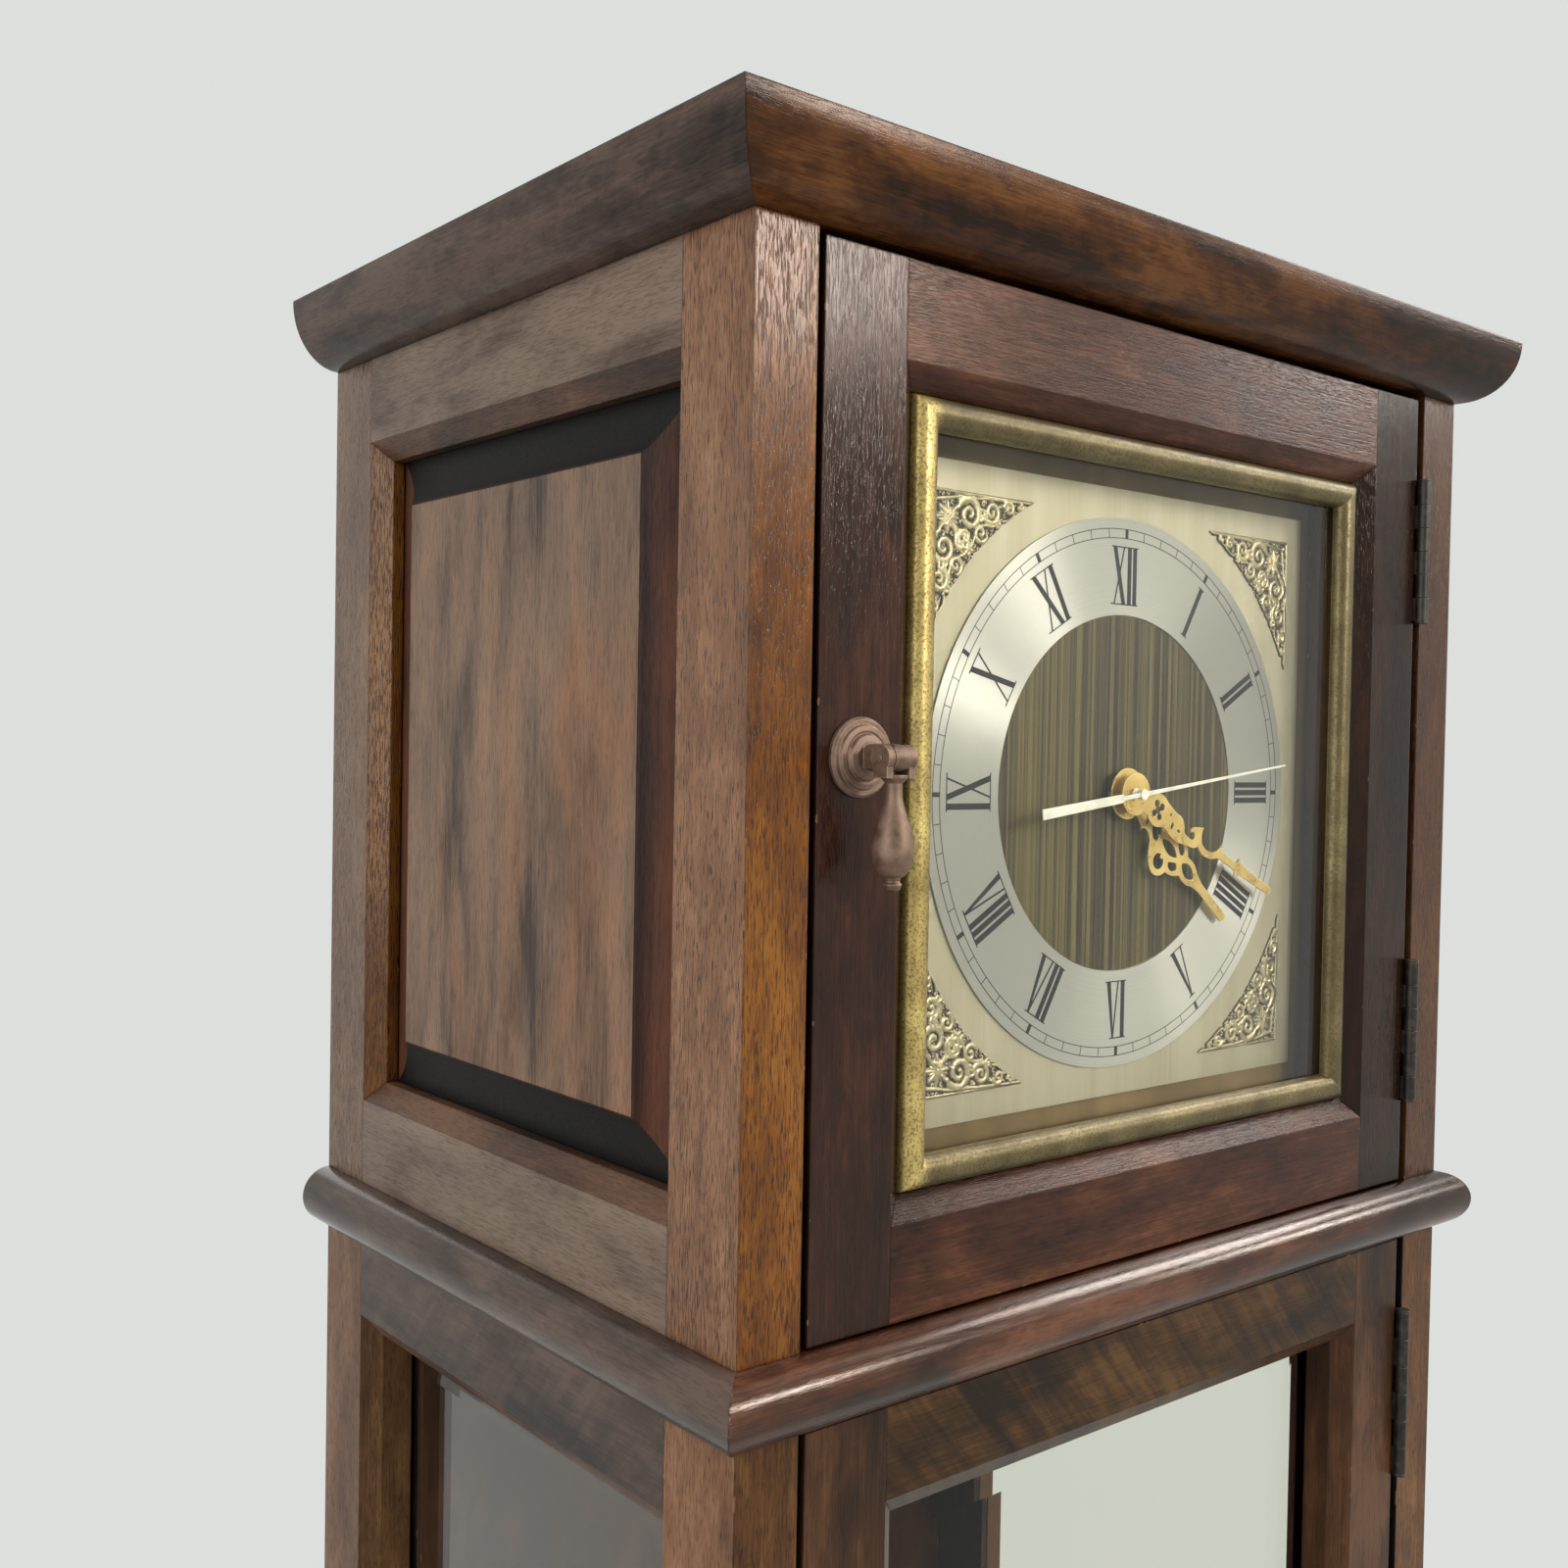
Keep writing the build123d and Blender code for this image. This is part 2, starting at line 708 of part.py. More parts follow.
def make_drop(z):
    r = pull_drop_radius
    length = pull_drop_length
    neck = 0.4 * r
    inner = pull_post_width / 2 + pull_ear_gap
    outer = inner + pull_ear_thickness
    collar = outer / sqrt(2)
    bottom = -length
    finial = pull_finial_radius
    waist_top = bottom + pull_finial_height
    side = Spline(Vector(neck, -10.5, 0), Vector(0.62 * r, -18, 0), Vector(r, -length + 14.4, 0),
                  Vector(0.84 * r, -length + 8.2, 0), Vector(0.42 * r, waist_top, 0),
                  tangents=[Vector(0, -1, 0), Vector(-1, -0.45, 0)])
    lines = Polyline(Vector(0, -5.4, 0), Vector(collar, -5.4, 0), Vector(collar, -6.4, 0),
                     Vector(neck, -8.2, 0), Vector(neck, -10.5, 0)) + side
    lines += Polyline(Vector(0.42 * r, waist_top, 0), Vector(finial * 0.75, bottom + 3.6, 0),
                      Vector(finial, bottom + 2.6, 0), Vector(finial * 0.8, bottom + 0.9, 0),
                      Vector(finial * 0.3, bottom, 0), Vector(0, bottom, 0), Vector(0, -5.4, 0))
    turned = Rot(90, 0, 0) * revolve(make_face(lines), Axis.Y)
    drop = turned
    for sign in (-1, 1):
        middle = sign * (inner + outer) / 2
        ear = Pos(middle, 0, 0) * Rot(0, 90, 0) * Cylinder(pull_ear_radius, pull_ear_thickness)
        x0, x1 = sorted((sign * inner, sign * outer))
        web = block(x0, x1, -pull_ear_radius * 0.75, pull_ear_radius * 0.75, -6.4, 0)
        drop += ear + web
    bore = pull_pin_radius + pull_pin_clearance
    drop -= Rot(0, 90, 0) * Cylinder(bore, 2 * outer + 2)
    return Pos(pull_x, front_y - pull_axis_reach, z) * whole(drop)


def catch_body(z):
    x0 = -inner_half_width
    y0 = front_y + door_thickness + strike_thickness + catch_gap
    return block(x0, x0 + catch_width, y0, y0 + catch_depth, z - catch_length / 2,
                 z + catch_length / 2)


def strike_plate(z):
    x0 = -inner_half_width + latch_gap + strike_inset
    y0 = front_y + door_thickness
    return block(x0, x0 + strike_width, y0, y0 + strike_thickness, z - strike_length / 2,
                 z + strike_length / 2)


# Dial, laid out about its own centre
def at_dial(x, depth, z):
    return Pos(x, front_y + depth, dial_z + z)


def dial_disc(radius, depth, thickness, bore):
    disc = rod(0, 0, radius, 0, thickness) - rod(0, 0, bore, 0, thickness)
    return at_dial(0, depth, 0) * disc


dial_plate_half = door_opening_width / 2 - dial_plate_margin
chapter_ring_radius = dial_plate_half - chapter_ring_margin
chapter_ring_inner = chapter_ring_radius - chapter_ring_width
plate_front = dial_board_front - dial_plate_thickness
shaft_hole = fixing_bush_radius + pipe_clearance


def make_dial_board():
    y0 = front_y + dial_board_front
    board = block(-dial_board_width / 2, dial_board_width / 2, y0, y0 + dial_board_thickness,
                  hood_bottom, hood_top)
    return board - rod(0, dial_z, shaft_hole, y0 - 1, y0 + dial_board_thickness + 1)


def make_dial_plate():
    half = dial_plate_half
    y0 = front_y + plate_front
    plate = block(-half, half, y0, y0 + dial_plate_thickness, dial_z - half, dial_z + half)
    return plate - rod(0, dial_z, shaft_hole, y0 - 1, y0 + dial_plate_thickness + 1)


def make_spandrels():
    c = dial_plate_half - spandrel_margin
    arc_radius = chapter_ring_radius + spandrel_ring_gap
    y1 = plate_front
    y0 = plate_front - spandrel_thickness
    tip = sqrt(arc_radius ** 2 - c ** 2)
    corner = block(tip, c, y0, y1, tip, c)
    corner -= rod(0, 0, arc_radius, y0 - 1, y1 + 1)
    spandrel = Pos(0, front_y, dial_z) * whole(corner)
    upper = [spandrel, mirror(spandrel, Plane.YZ)]
    lower = [mirror(solid, Plane.XY.offset(dial_z)) for solid in upper]
    return upper + lower


# Hands are drawn along +Z from the dial's centre, then turned clockwise to the time
def turned_hand(shape, angle):
    return Pos(0, front_y, dial_z) * Rot(0, angle, 0) * shape


# Flat outlines of a hand: x across it, y along it. Each run of points is one smooth stretch.
def outline_of(*runs):
    edges = [Line(*run) if len(run) == 2 else Spline(*run) for run in runs]
    return make_face(edges)


def lens_of(bottom, top, half):
    middle = (bottom + top) / 2
    right = ThreePointArc((0, bottom), (half, middle), (0, top))
    left = ThreePointArc((0, top), (-half, middle), (0, bottom))
    return make_face([right, left])


def mirrored(face):
    return [face, mirror(face, Plane.YZ)]


def hand_blank(outlines, holes, front):
    flat = outlines[0] + outlines[1:] - holes
    upright = Plane((0, front, 0), x_dir=(1, 0, 0), z_dir=(0, -1, 0))
    return extrude(upright * flat, amount=hand_thickness, dir=(0, 1, 0))


def with_collar(hand, front, bore):
    hand += rod(0, 0, bore + hand_collar_wall, front, front + hand_collar_height)
    return whole(hand - rod(0, 0, bore, front - 1, front + hand_collar_height + 1))


def make_hour_hand():
    tip = hour_hand_length
    half = hour_shaft_half_width
    right = outline_of(
        [(0, tip), (0.7 * half, tip - 0.3 * half), (half, tip - half)],
        [(half, tip - half), (half, 63.0)],
        [(half, 63.0), (2.4, 61.0), (3.1, 58.0), (4.6, 55.0), (5.2, 52.0), (5.1, 50.0), (4.7, 48.2)],
        [(4.7, 48.2), (5.6, 47.0), (7.4, 44.8), (8.7, 42.0), (9.2, 39.6)],
        [(9.2, 39.6), (11.6, 38.6), (13.7, 36.4), (14.7, 33.9), (14.5, 31.6), (13.3, 29.2), (10.5, 26.4),
         (7.4, 24.5), (4.6, 22.3), (3.7, 20.4), (3.6, 18.0)],
        [(3.6, 18.0), (4.2, 16.8), (5.6, 15.9)],
        [(5.6, 15.9), (4.3, 15.1), (3.9, 13.4), (3.1, 10.4), (3.6, 8.0)],
        [(3.6, 8.0), (0, 8.0)],
        [(0, 8.0), (0, tip)])
    side_opening = outline_of(
        [(4.0, 45.0), (6.2, 43.4), (6.9, 41.0), (5.0, 38.6)],
        [(5.0, 38.6), (3.3, 40.9), (2.3, 43.3), (4.0, 45.0)])
    half_heart = outline_of(
        [(0, 26.1), (1.6, 27.3), (3.3, 26.2), (3.3, 24.2), (1.9, 22.2), (0, 20.4)],
        [(0, 20.4), (0, 26.1)])
    side_ring = Pos(8.6, 33.3) * Circle(3.4) - Pos(5.8, 34.0) * Circle(0.9)
    holes = [lens_of(46.4, 56.7, 2.8), lens_of(29.4, 42.0, 2.5), Pos(0, 17.1) * Ellipse(2.1, 1.3)]
    holes += mirrored(side_opening) + mirrored(half_heart) + mirrored(side_ring)
    blank = hand_blank([Circle(hour_boss_radius)] + mirrored(right), holes, hour_hand_front)
    return turned_hand(with_collar(blank, hour_hand_front, hour_pipe_radius), hour_angle)


def make_minute_hand():
    tip = minute_hand_length
    half = minute_shaft_half_width
    leaf = outline_of(
        [(-6.2, 18.6), (-5.0, 22.2), (-4.2, 26.0), (-3.5, 29.1), (-2.5, 31.9), (-0.6, 33.7), (1.0, 35.2),
         (1.9, 37.9), (2.1, 40.7)],
        [(2.1, 40.7), (1.6, 42.2), (0.4, 42.8), (-0.8, 42.4), (-1.5, 41.2), (-0.6, 39.9)],
        [(-0.6, 39.9), (-1.3, 39.1), (-2.3, 39.4), (-3.3, 40.7), (-4.2, 42.3), (-4.8, 44.1), (-5.8, 46.6)],
        [(-5.8, 46.6), (-3.5, 46.5), (-1.3, 47.1), (0.4, 48.2), (1.5, 50.4), (1.8, 52.9), (1.3, 55.7),
         (0.4, 57.9), (-0.8, 59.4), (-2.3, 60.4), (-4.1, 61.0)],
        [(-4.1, 61.0), (-2.4, 62.0), (-half, 64.0)],
        [(-half, 64.0), (-half, 74.8)],
        [(-half, 74.8), (-4.0, 75.1)],
        [(-4.0, 75.1), (-2.8, 78.0), (-2.1, 82.0), (-1.9, 88.0)],
        [(-1.9, 88.0), (-half, tip - half)],
        [(-half, tip - half), (0, tip), (half, tip - half)],
        [(half, tip - half), (1.9, 88.0)],
        [(1.9, 88.0), (2.1, 82.0), (2.8, 78.0), (4.0, 75.1)],
        [(4.0, 75.1), (half, 74.8)],
        [(half, 74.8), (half, 63.0)],
        [(half, 63.0), (2.6, 59.6), (3.5, 57.9), (4.3, 55.4), (4.7, 52.9), (4.5, 50.4), (3.6, 47.9),
         (2.5, 46.4)],
        [(2.5, 46.4), (4.2, 44.6), (5.0, 42.2), (5.2, 40.4), (5.7, 37.9), (6.4, 34.8), (6.7, 31.6),
         (6.5, 29.1), (5.6, 25.5), (4.8, 22.9), (5.4, 20.6), (6.2, 18.6)],
        [(6.2, 18.6), (-6.2, 18.6)])
    outlines = [Circle(minute_boss_radius), Pos(0, 9.5) * Rectangle(9.0, 6.0), Pos(0, 15.7) * Circle(6.8)]
    lobes = [Pos(x, y) * Circle(1.6) for x in (-2.2, 2.2) for y in (13.8, 17.6)]
    small = [Pos(2.1, 26.8) * Ellipse(1.6, 1.0), Pos(-1.7, 24.0) * Circle(0.7),
             Pos(2.3, 31.8) * Ellipse(0.7, 1.3)]
    blank = hand_blank(outlines + [leaf], [Pos(0, 15.7) * Circle(1.7)] + lobes + small,
                       minute_hand_front)
    return turned_hand(with_collar(blank, minute_hand_front, minute_pipe_radius), minute_angle)


def make_second_hand():
    y0 = second_hand_front
    y1 = y0 + second_hand_thickness
    root = second_hand_root_half_width
    point = second_hand_point_half_width
    weight = counterweight_distance
    wide = counterweight_half_width
    tip = second_hand_length
    tail = second_hand_tail
    hand = rod(0, 0, second_boss_radius, y0 - second_boss_rise, y1 + second_boss_depth)
    hand += slab([(-root, 0), (root, 0), (point, tip), (-point, tip)], y0, y1)
    hand += slab([(-root, 0), (root, 0), (root, -weight), (0.85 * wide, -weight - 1), (wide, -tail),
                  (-wide, -tail), (-0.85 * wide, -weight - 1), (-root, -weight)], y0, y1)
    hand -= rod(0, 0, seconds_arbor_radius, y0 + second_arbor_set, y1 + second_boss_depth + 1)
    return turned_hand(whole(hand), second_angle)


hour_angle = (shown_hour + shown_minute / 60) * 30
minute_angle = shown_minute * 6
second_angle = shown_second * 6


# A wheel about its own arbor. One tooth points along the given angle, or a gap does.
def wheel(teeth, module, y0, thickness, pointing, gap=False, spokes=False):
    pitch_radius = module * teeth / 2
    tip_radius = pitch_radius + 0.85 * module
    root_radius = pitch_radius - 1.2 * module
    step = 360 / teeth
    start = pointing + (step / 2 if gap else 0)
    points = []
    for index in range(teeth):
        middle = start + index * step
        for share, radius in ((-0.27, root_radius), (-0.10, tip_radius),
                              (0.10, tip_radius), (0.27, root_radius)):
            angle = radians(middle + share * step)
            points.append((radius * cos(angle), radius * sin(angle)))
    gear = slab(points, y0, y0 + thickness)
    if spokes:
        for index in range(5):
            angle = radians(72 * index)
            reach = root_radius * 0.56
            gear -= rod(reach * cos(angle), reach * sin(angle), root_radius * 0.24,
                        y0 - 1, y0 + thickness + 1)
    return gear


case_back = dial_board_front + dial_board_thickness
inside_front = case_back + movement_wall
hour_layer = inside_front + layer_gap
motion_layer = hour_layer + wheel_thickness + layer_gap
centre_layer = motion_layer + wheel_thickness + layer_gap
third_layer = centre_layer + wheel_thickness + layer_gap
seconds_layer = third_layer + wheel_thickness + layer_gap
rotor_layer = seconds_layer + wheel_thickness + layer_gap
lid_front = inside_front + movement_inner_depth

motion_centre = (0.0, -motion_distance)
third_centre = (train_distance * cos(radians(third_arbor_angle)),
                train_distance * sin(radians(third_arbor_angle)))
rotor_centre = (train_distance * cos(radians(rotor_angle)),
                train_distance * sin(radians(rotor_angle)))
knob_centre = (motion_distance * cos(radians(knob_angle)),
               motion_distance * sin(radians(knob_angle)) - motion_distance)

cannon_module = 2 * motion_distance / (cannon_teeth + motion_teeth)
hour_module = 2 * motion_distance / (motion_pinion_teeth + hour_teeth)
third_module = 2 * train_distance / (third_teeth + seconds_pinion_teeth)
centre_module = 2 * train_distance / (centre_teeth + third_pinion_teeth)
seconds_module = 2 * train_distance / (seconds_teeth + rotor_pinion_teeth)


def in_movement(shape, centre=(0.0, 0.0)):
    return Pos(centre[0], front_y, dial_z + centre[1]) * shape


def make_seconds_wheel():
    arbor = rod(0, 0, seconds_arbor_radius, second_hand_front + second_arbor_set,
                lid_front + lid_thickness / 2)
    pinion = wheel(seconds_pinion_teeth, third_module, third_layer, wheel_thickness,
                   third_arbor_angle)
    gear = wheel(seconds_teeth, seconds_module, seconds_layer, wheel_thickness, rotor_angle,
                 spokes=True)
    spacer = rod(0, 0, collar_radius, third_layer, seconds_layer)
    return in_movement(whole(arbor + pinion + gear + spacer))


def make_rotor():
    arbor = rod(0, 0, thin_arbor_radius, inside_front, lid_front + lid_thickness / 2)
    pinion = wheel(rotor_pinion_teeth, seconds_module, seconds_layer, wheel_thickness,
                   rotor_angle + 180, gap=True)
    magnet = rod(0, 0, rotor_radius, rotor_layer, rotor_layer + rotor_thickness)
    collar = rod(0, 0, collar_radius, seconds_layer, rotor_layer)
    return in_movement(whole(arbor + pinion + magnet + collar), rotor_centre)


def make_third_wheel():
    arbor = rod(0, 0, thin_arbor_radius, inside_front, lid_front + lid_thickness / 2)
    gear = wheel(third_teeth, third_module, third_layer, wheel_thickness,
                 third_arbor_angle + 180, gap=True, spokes=True)
    pinion = wheel(third_pinion_teeth, centre_module, centre_layer, wheel_thickness,
                   third_arbor_angle + 180, gap=True)
    collar = rod(0, 0, collar_radius, centre_layer, third_layer)
    return in_movement(whole(arbor + gear + pinion + collar), third_centre)


def make_centre_wheel():
    gear = wheel(centre_teeth, centre_module, centre_layer, wheel_thickness, third_arbor_angle,
                 spokes=True)
    bore = seconds_arbor_radius + pipe_clearance
    gear += rod(0, 0, wide_collar_radius, centre_layer, centre_layer + wheel_thickness + layer_gap / 2)
    return in_movement(gear - rod(0, 0, bore, centre_layer - 1, third_layer))


def make_minute_pipe():
    front = minute_hand_front
    pipe = rod(0, 0, minute_pipe_radius, front, motion_layer + wheel_thickness)
    pinion = wheel(cannon_teeth, cannon_module, motion_layer, wheel_thickness, -90)
    bore = seconds_arbor_radius + pipe_clearance
    pipe = pipe + pinion - rod(0, 0, bore, front - 1, motion_layer + wheel_thickness + 1)
    return in_movement(whole(pipe))


def make_motion_wheel():
    gear = wheel(motion_teeth, cannon_module, motion_layer, wheel_thickness, 90, gap=True)
    pinion = wheel(motion_pinion_teeth, hour_module, hour_layer, wheel_thickness, 90, gap=True)
    collar = rod(0, 0, wide_collar_radius, hour_layer, motion_layer)
    bore = rod(0, 0, stud_radius + pipe_clearance, hour_layer - 1, motion_layer + wheel_thickness + 1)
    return in_movement(whole(gear + pinion + collar - bore), motion_centre)


def make_hour_wheel():
    pipe = rod(0, 0, hour_pipe_radius, hour_hand_front, hour_layer + wheel_thickness)
    gear = wheel(hour_teeth, hour_module, hour_layer, wheel_thickness, -90)
    bore = rod(0, 0, minute_pipe_radius + pipe_clearance, hour_hand_front - 1,
               hour_layer + wheel_thickness + 1)
    return in_movement(whole(pipe + gear - bore))


def make_setting_knob():
    # The motion wheel's tooth that faces the knob sets the phase of the knob's pinion.
    step = 360 / motion_teeth
    motion_phase = (90 + step / 2 - knob_angle) % step
    knob_phase = -motion_phase * motion_teeth / knob_teeth
    pinion = wheel(knob_teeth, cannon_module, motion_layer, wheel_thickness,
                   knob_angle + 180 + 180 / knob_teeth + knob_phase)
    outside = lid_front + lid_thickness + outer_gap
    arbor = rod(0, 0, stud_radius, inside_front + end_play, outside)
    knob = rod(0, 0, knob_radius, outside, outside + knob_length)
    for index in range(knob_grooves):
        angle = 2 * pi * index / knob_grooves
        knob -= rod(knob_radius * cos(angle), knob_radius * sin(angle), knob_groove_radius,
                    outside - 1, outside + knob_length + 1)
    return in_movement(whole(arbor + pinion + knob), knob_centre)


# Case of the movement: a train box above a trough for the cell
half_movement = movement_width / 2
battery_bore = battery_radius + battery_play
battery_axis_depth = case_back + movement_wall + battery_bore
battery_z = movement_train_bottom - movement_wall - battery_bore
trough_bottom = battery_z - battery_bore - movement_wall
trough_back = lid_front
bay_half_length = battery_length / 2 + battery_button_length + 2 * contact_thickness + battery_play


def make_movement_case():
    w = movement_wall
    box = block(-half_movement, half_movement, case_back, lid_front, movement_train_bottom - w,
                movement_top_height)
    box -= block(-half_movement + w, half_movement - w, inside_front, lid_front + 1,
                 movement_train_bottom, movement_top_height - w)
    trough = block(-bay_half_length - w, bay_half_length + w, case_back, trough_back, trough_bottom,
                   movement_train_bottom)
    trough -= block(-bay_half_length, bay_half_length, case_back + w, trough_back + 1,
                    trough_bottom + w, movement_train_bottom - w)
    shell = box + trough
    shell += rod(0, 0, fixing_bush_radius, plate_front - fixing_nut_thickness, case_back + 1)
    shell -= rod(0, 0, hour_pipe_radius + pipe_clearance, plate_front - 4, inside_front + 1)
    shell += rod(motion_centre[0], motion_centre[1], stud_radius, case_back + 0.5,
                 motion_layer + wheel_thickness)
    for centre in (rotor_centre, third_centre):
        shell += rod(centre[0], centre[1], bearing_boss_radius, inside_front - 0.5,
                     inside_front + bearing_boss_height)
        shell -= rod(centre[0], centre[1], thin_arbor_radius + pipe_clearance,
                     inside_front - bearing_depth, inside_front + 1)
    return in_movement(whole(shell))


def make_movement_lid():
    lid = block(-half_movement, half_movement, lid_front, lid_front + lid_thickness,
                movement_train_bottom - movement_wall, movement_top_height)
    lid -= rod(knob_centre[0], knob_centre[1], stud_radius + pipe_clearance, lid_front - 1,
               lid_front + lid_thickness + 1)
    for centre, radius in ((rotor_centre, thin_arbor_radius), (third_centre, thin_arbor_radius),
                           ((0.0, 0.0), seconds_arbor_radius)):
        lid -= rod(centre[0], centre[1], radius + pipe_clearance, lid_front - 1,
                   lid_front + lid_thickness * 0.6)
    return in_movement(whole(lid))


def make_fixing_nut():
    nut = rod(0, 0, fixing_nut_radius, plate_front - fixing_nut_thickness, plate_front)
    for index in range(6):
        angle = radians(60 * index)
        nut -= rod(nut_groove_distance * cos(angle), nut_groove_distance * sin(angle),
                   nut_groove_radius, plate_front - 5, plate_front + 1)
    return in_movement(nut - rod(0, 0, fixing_bush_radius, plate_front - 5, plate_front + 1))


def make_drive_coil():
    x, z = rotor_centre
    inner = rotor_radius + pole_gap
    y0 = rotor_layer
    y1 = rotor_layer + rotor_thickness
    plates = [block(x + sign * inner, x + sign * (inner + pole_thickness), y0, y1,
                    z - pole_foot_height, coil_height)
              for sign in (-1, 1)]
    middle = (y0 + y1) / 2
    core = Pos(x, middle, coil_height - core_radius) * Rot(0, 90, 0) * Cylinder(core_radius, 2 * inner)
    winding = Pos(x, middle, coil_height - core_radius) * Rot(0, 90, 0) * (
        Cylinder(coil_radius, 2 * (inner - coil_end_gap)) - Cylinder(core_radius, 2 * inner))
    return [in_movement(whole(plates[0] + plates[1] + core)), in_movement(winding)]


def make_circuit_board():
    x0 = -half_movement + movement_wall + 2
    z0 = movement_top_height - movement_wall - board_length - 0.5
    y0 = rotor_layer + 1
    board = block(x0, x0 + board_width, y0, y0 + board_thickness, z0, z0 + board_length)
    parts = [board]
    for index in range(3):
        can = rod(x0 + 6, z0 + 8 + 12 * index, 2.4, y0 - 4.5, y0)
        parts.append(can)
    parts.append(block(x0 + 12, x0 + 20, y0 - 2.2, y0, z0 + 14, z0 + 26))
    post = block(x0 + 1, x0 + 4, inside_front, y0, z0 + 1, z0 + 4)
    parts.append(post)
    return [in_movement(part) for part in parts]


def make_battery():
    shift = -battery_button_length / 2
    can = Pos(shift, battery_axis_depth, battery_z) * Rot(0, 90, 0) * Cylinder(
        battery_radius, battery_length)
    button = Pos(shift + battery_length / 2 + battery_button_length / 2, battery_axis_depth, battery_z)
    can += button * Rot(0, 90, 0) * Cylinder(battery_button_radius, battery_button_length)
    return in_movement(can)


def make_battery_contacts():
    half = contact_width / 2
    contacts = []
    for sign in (-1, 1):
        x0, x1 = sorted((sign * bay_half_length, sign * (bay_half_length - contact_thickness)))
        contacts.append(block(x0, x1, battery_axis_depth - half, battery_axis_depth + half * 0.9,
                              battery_z - half, battery_z + half))
    return [in_movement(contact) for contact in contacts]


def solids_of(shape):
    if isinstance(shape, (list, tuple, ShapeList)):
        return [solid for item in shape for solid in solids_of(item)]
    return shape.solids()


def write(node, shape):
    solids = solids_of(shape)
    group = solids[0] if len(solids) == 1 else Compound(children=solids)
    export_step(group, "parts/" + node + ".step")


hood_stiles, hood_rails = make_hood_sides()
trunk_stiles, trunk_rails = make_trunk_sides()
hood_door = make_hood_door()
trunk_door = make_trunk_door()
hood_hinges, trunk_hinges = hinge_places()
trunk_glass = trunk_glass_opening()
trunk_catch_height = (trunk_door_bottom + trunk_door_top) / 2
hood_pull_height = dial_z + pull_above_dial
trunk_pull_height = trunk_door_bottom + trunk_pull_share * (trunk_door_top - trunk_door_bottom)

# Case
write("top_board", block(-half_width + moulding_landing, half_width - moulding_landing,
                         front_y + moulding_landing, back_y, hood_top,
                         hood_top + top_board_thickness))
write("cornice", make_moulding("ovolo", hood_top, case_top, cornice_overhang))
write("hood_stiles", hood_stiles)
write("hood_side_rails", hood_rails)
write("hood_side_panels", both_sides([make_side_panel()]))
write("hood_back_cover", make_hood_cover())
write("cover_screws", make_cover_screws())
write("waist_moulding", make_moulding("bullnose", trunk_top, hood_bottom, bullnose_height / 2))
write("waist_board", make_inner_board(trunk_top, hood_bottom))
write("trunk_stiles", trunk_stiles)
write("trunk_side_rails", trunk_rails)
write("side_glass", make_side_glass())
write("side_glass_strips", make_side_strips())
write("trunk_back_panel", make_cover(trunk_bottom, trunk_top, 0))
write("base_moulding", make_moulding("bullnose", plinth_height, trunk_bottom, bullnose_height / 2))
write("base_board", make_inner_board(plinth_height, trunk_bottom))
write("plinth_boards", make_plinth())
write("skirting", make_moulding("skirting", 0, skirting_height, skirting_overhang, 0))

# Hinges and catches
write("case_hinge_leaves", [hinge_leaf(z, length, "case") for z, length in hood_hinges + trunk_hinges])
write("hinge_pins", [hinge_pin(z, length) for z, length in hood_hinges + trunk_hinges])
write("hood_door_leaves", [hinge_leaf(z, length, "door") for z, length in hood_hinges])
write("trunk_door_leaves", [hinge_leaf(z, length, "door") for z, length in trunk_hinges])
write("magnet_catches", [catch_body(hood_bottom + hood_catch_height), catch_body(trunk_catch_height)])
write("hood_strike_plate", strike_plate(hood_bottom + hood_catch_height))
write("trunk_strike_plate", strike_plate(trunk_catch_height))

# Doors
write("hood_door_stiles", [hood_door["left"], hood_door["right"]])
write("hood_door_rails", [hood_door["bottom"], hood_door["top"]])
write("gilt_frame", make_gilt_frame())
write("dial_glass", make_dial_glass())
write("trunk_door_stiles", [trunk_door["left"], trunk_door["right"]])
write("trunk_door_rails", [trunk_door["bottom"], trunk_door["top"]])
write("trunk_door_glass", bevelled_glass(*trunk_glass, front_y + door_thickness - plate_glass_thickness))
write("trunk_door_strips", glass_strips(*trunk_glass, front_y + door_thickness))

# Pulls
write("hood_pull_rosette", make_rosette(hood_pull_height))
write("hood_pull_drop", make_drop(hood_pull_height))
write("trunk_pull_rosette", make_rosette(trunk_pull_height))
write("trunk_pull_drop", make_drop(trunk_pull_height))

# Dial
write("dial_board", make_dial_board())
write("dial_plate", make_dial_plate())
write("chapter_ring", dial_disc(chapter_ring_radius, plate_front - chapter_ring_thickness,
                                chapter_ring_thickness, chapter_ring_inner))
write("centre_disc", dial_disc(chapter_ring_inner - centre_disc_play,
                               plate_front - centre_disc_thickness, centre_disc_thickness,
                               fixing_nut_radius + 0.5))
write("spandrels", make_spandrels())

# Hands
write("hour_hand", make_hour_hand())
write("minute_hand", make_minute_hand())
write("second_hand", make_second_hand())

# Movement
write("movement_case", make_movement_case())
write("movement_lid", make_movement_lid())
write("fixing_nut", make_fixing_nut())
write("drive_coil", make_drive_coil())
write("circuit_board", make_circuit_board())
write("battery", make_battery())
write("battery_contacts", make_battery_contacts())
write("seconds_wheel", make_seconds_wheel())
write("rotor", make_rotor())
write("third_wheel", make_third_wheel())
write("centre_wheel", make_centre_wheel())
write("minute_pipe", make_minute_pipe())
write("motion_wheel", make_motion_wheel())
write("hour_wheel", make_hour_wheel())
write("setting_knob", make_setting_knob())
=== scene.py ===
import math

import bmesh
import bpy
import numpy as np
from mathutils import Matrix, Vector


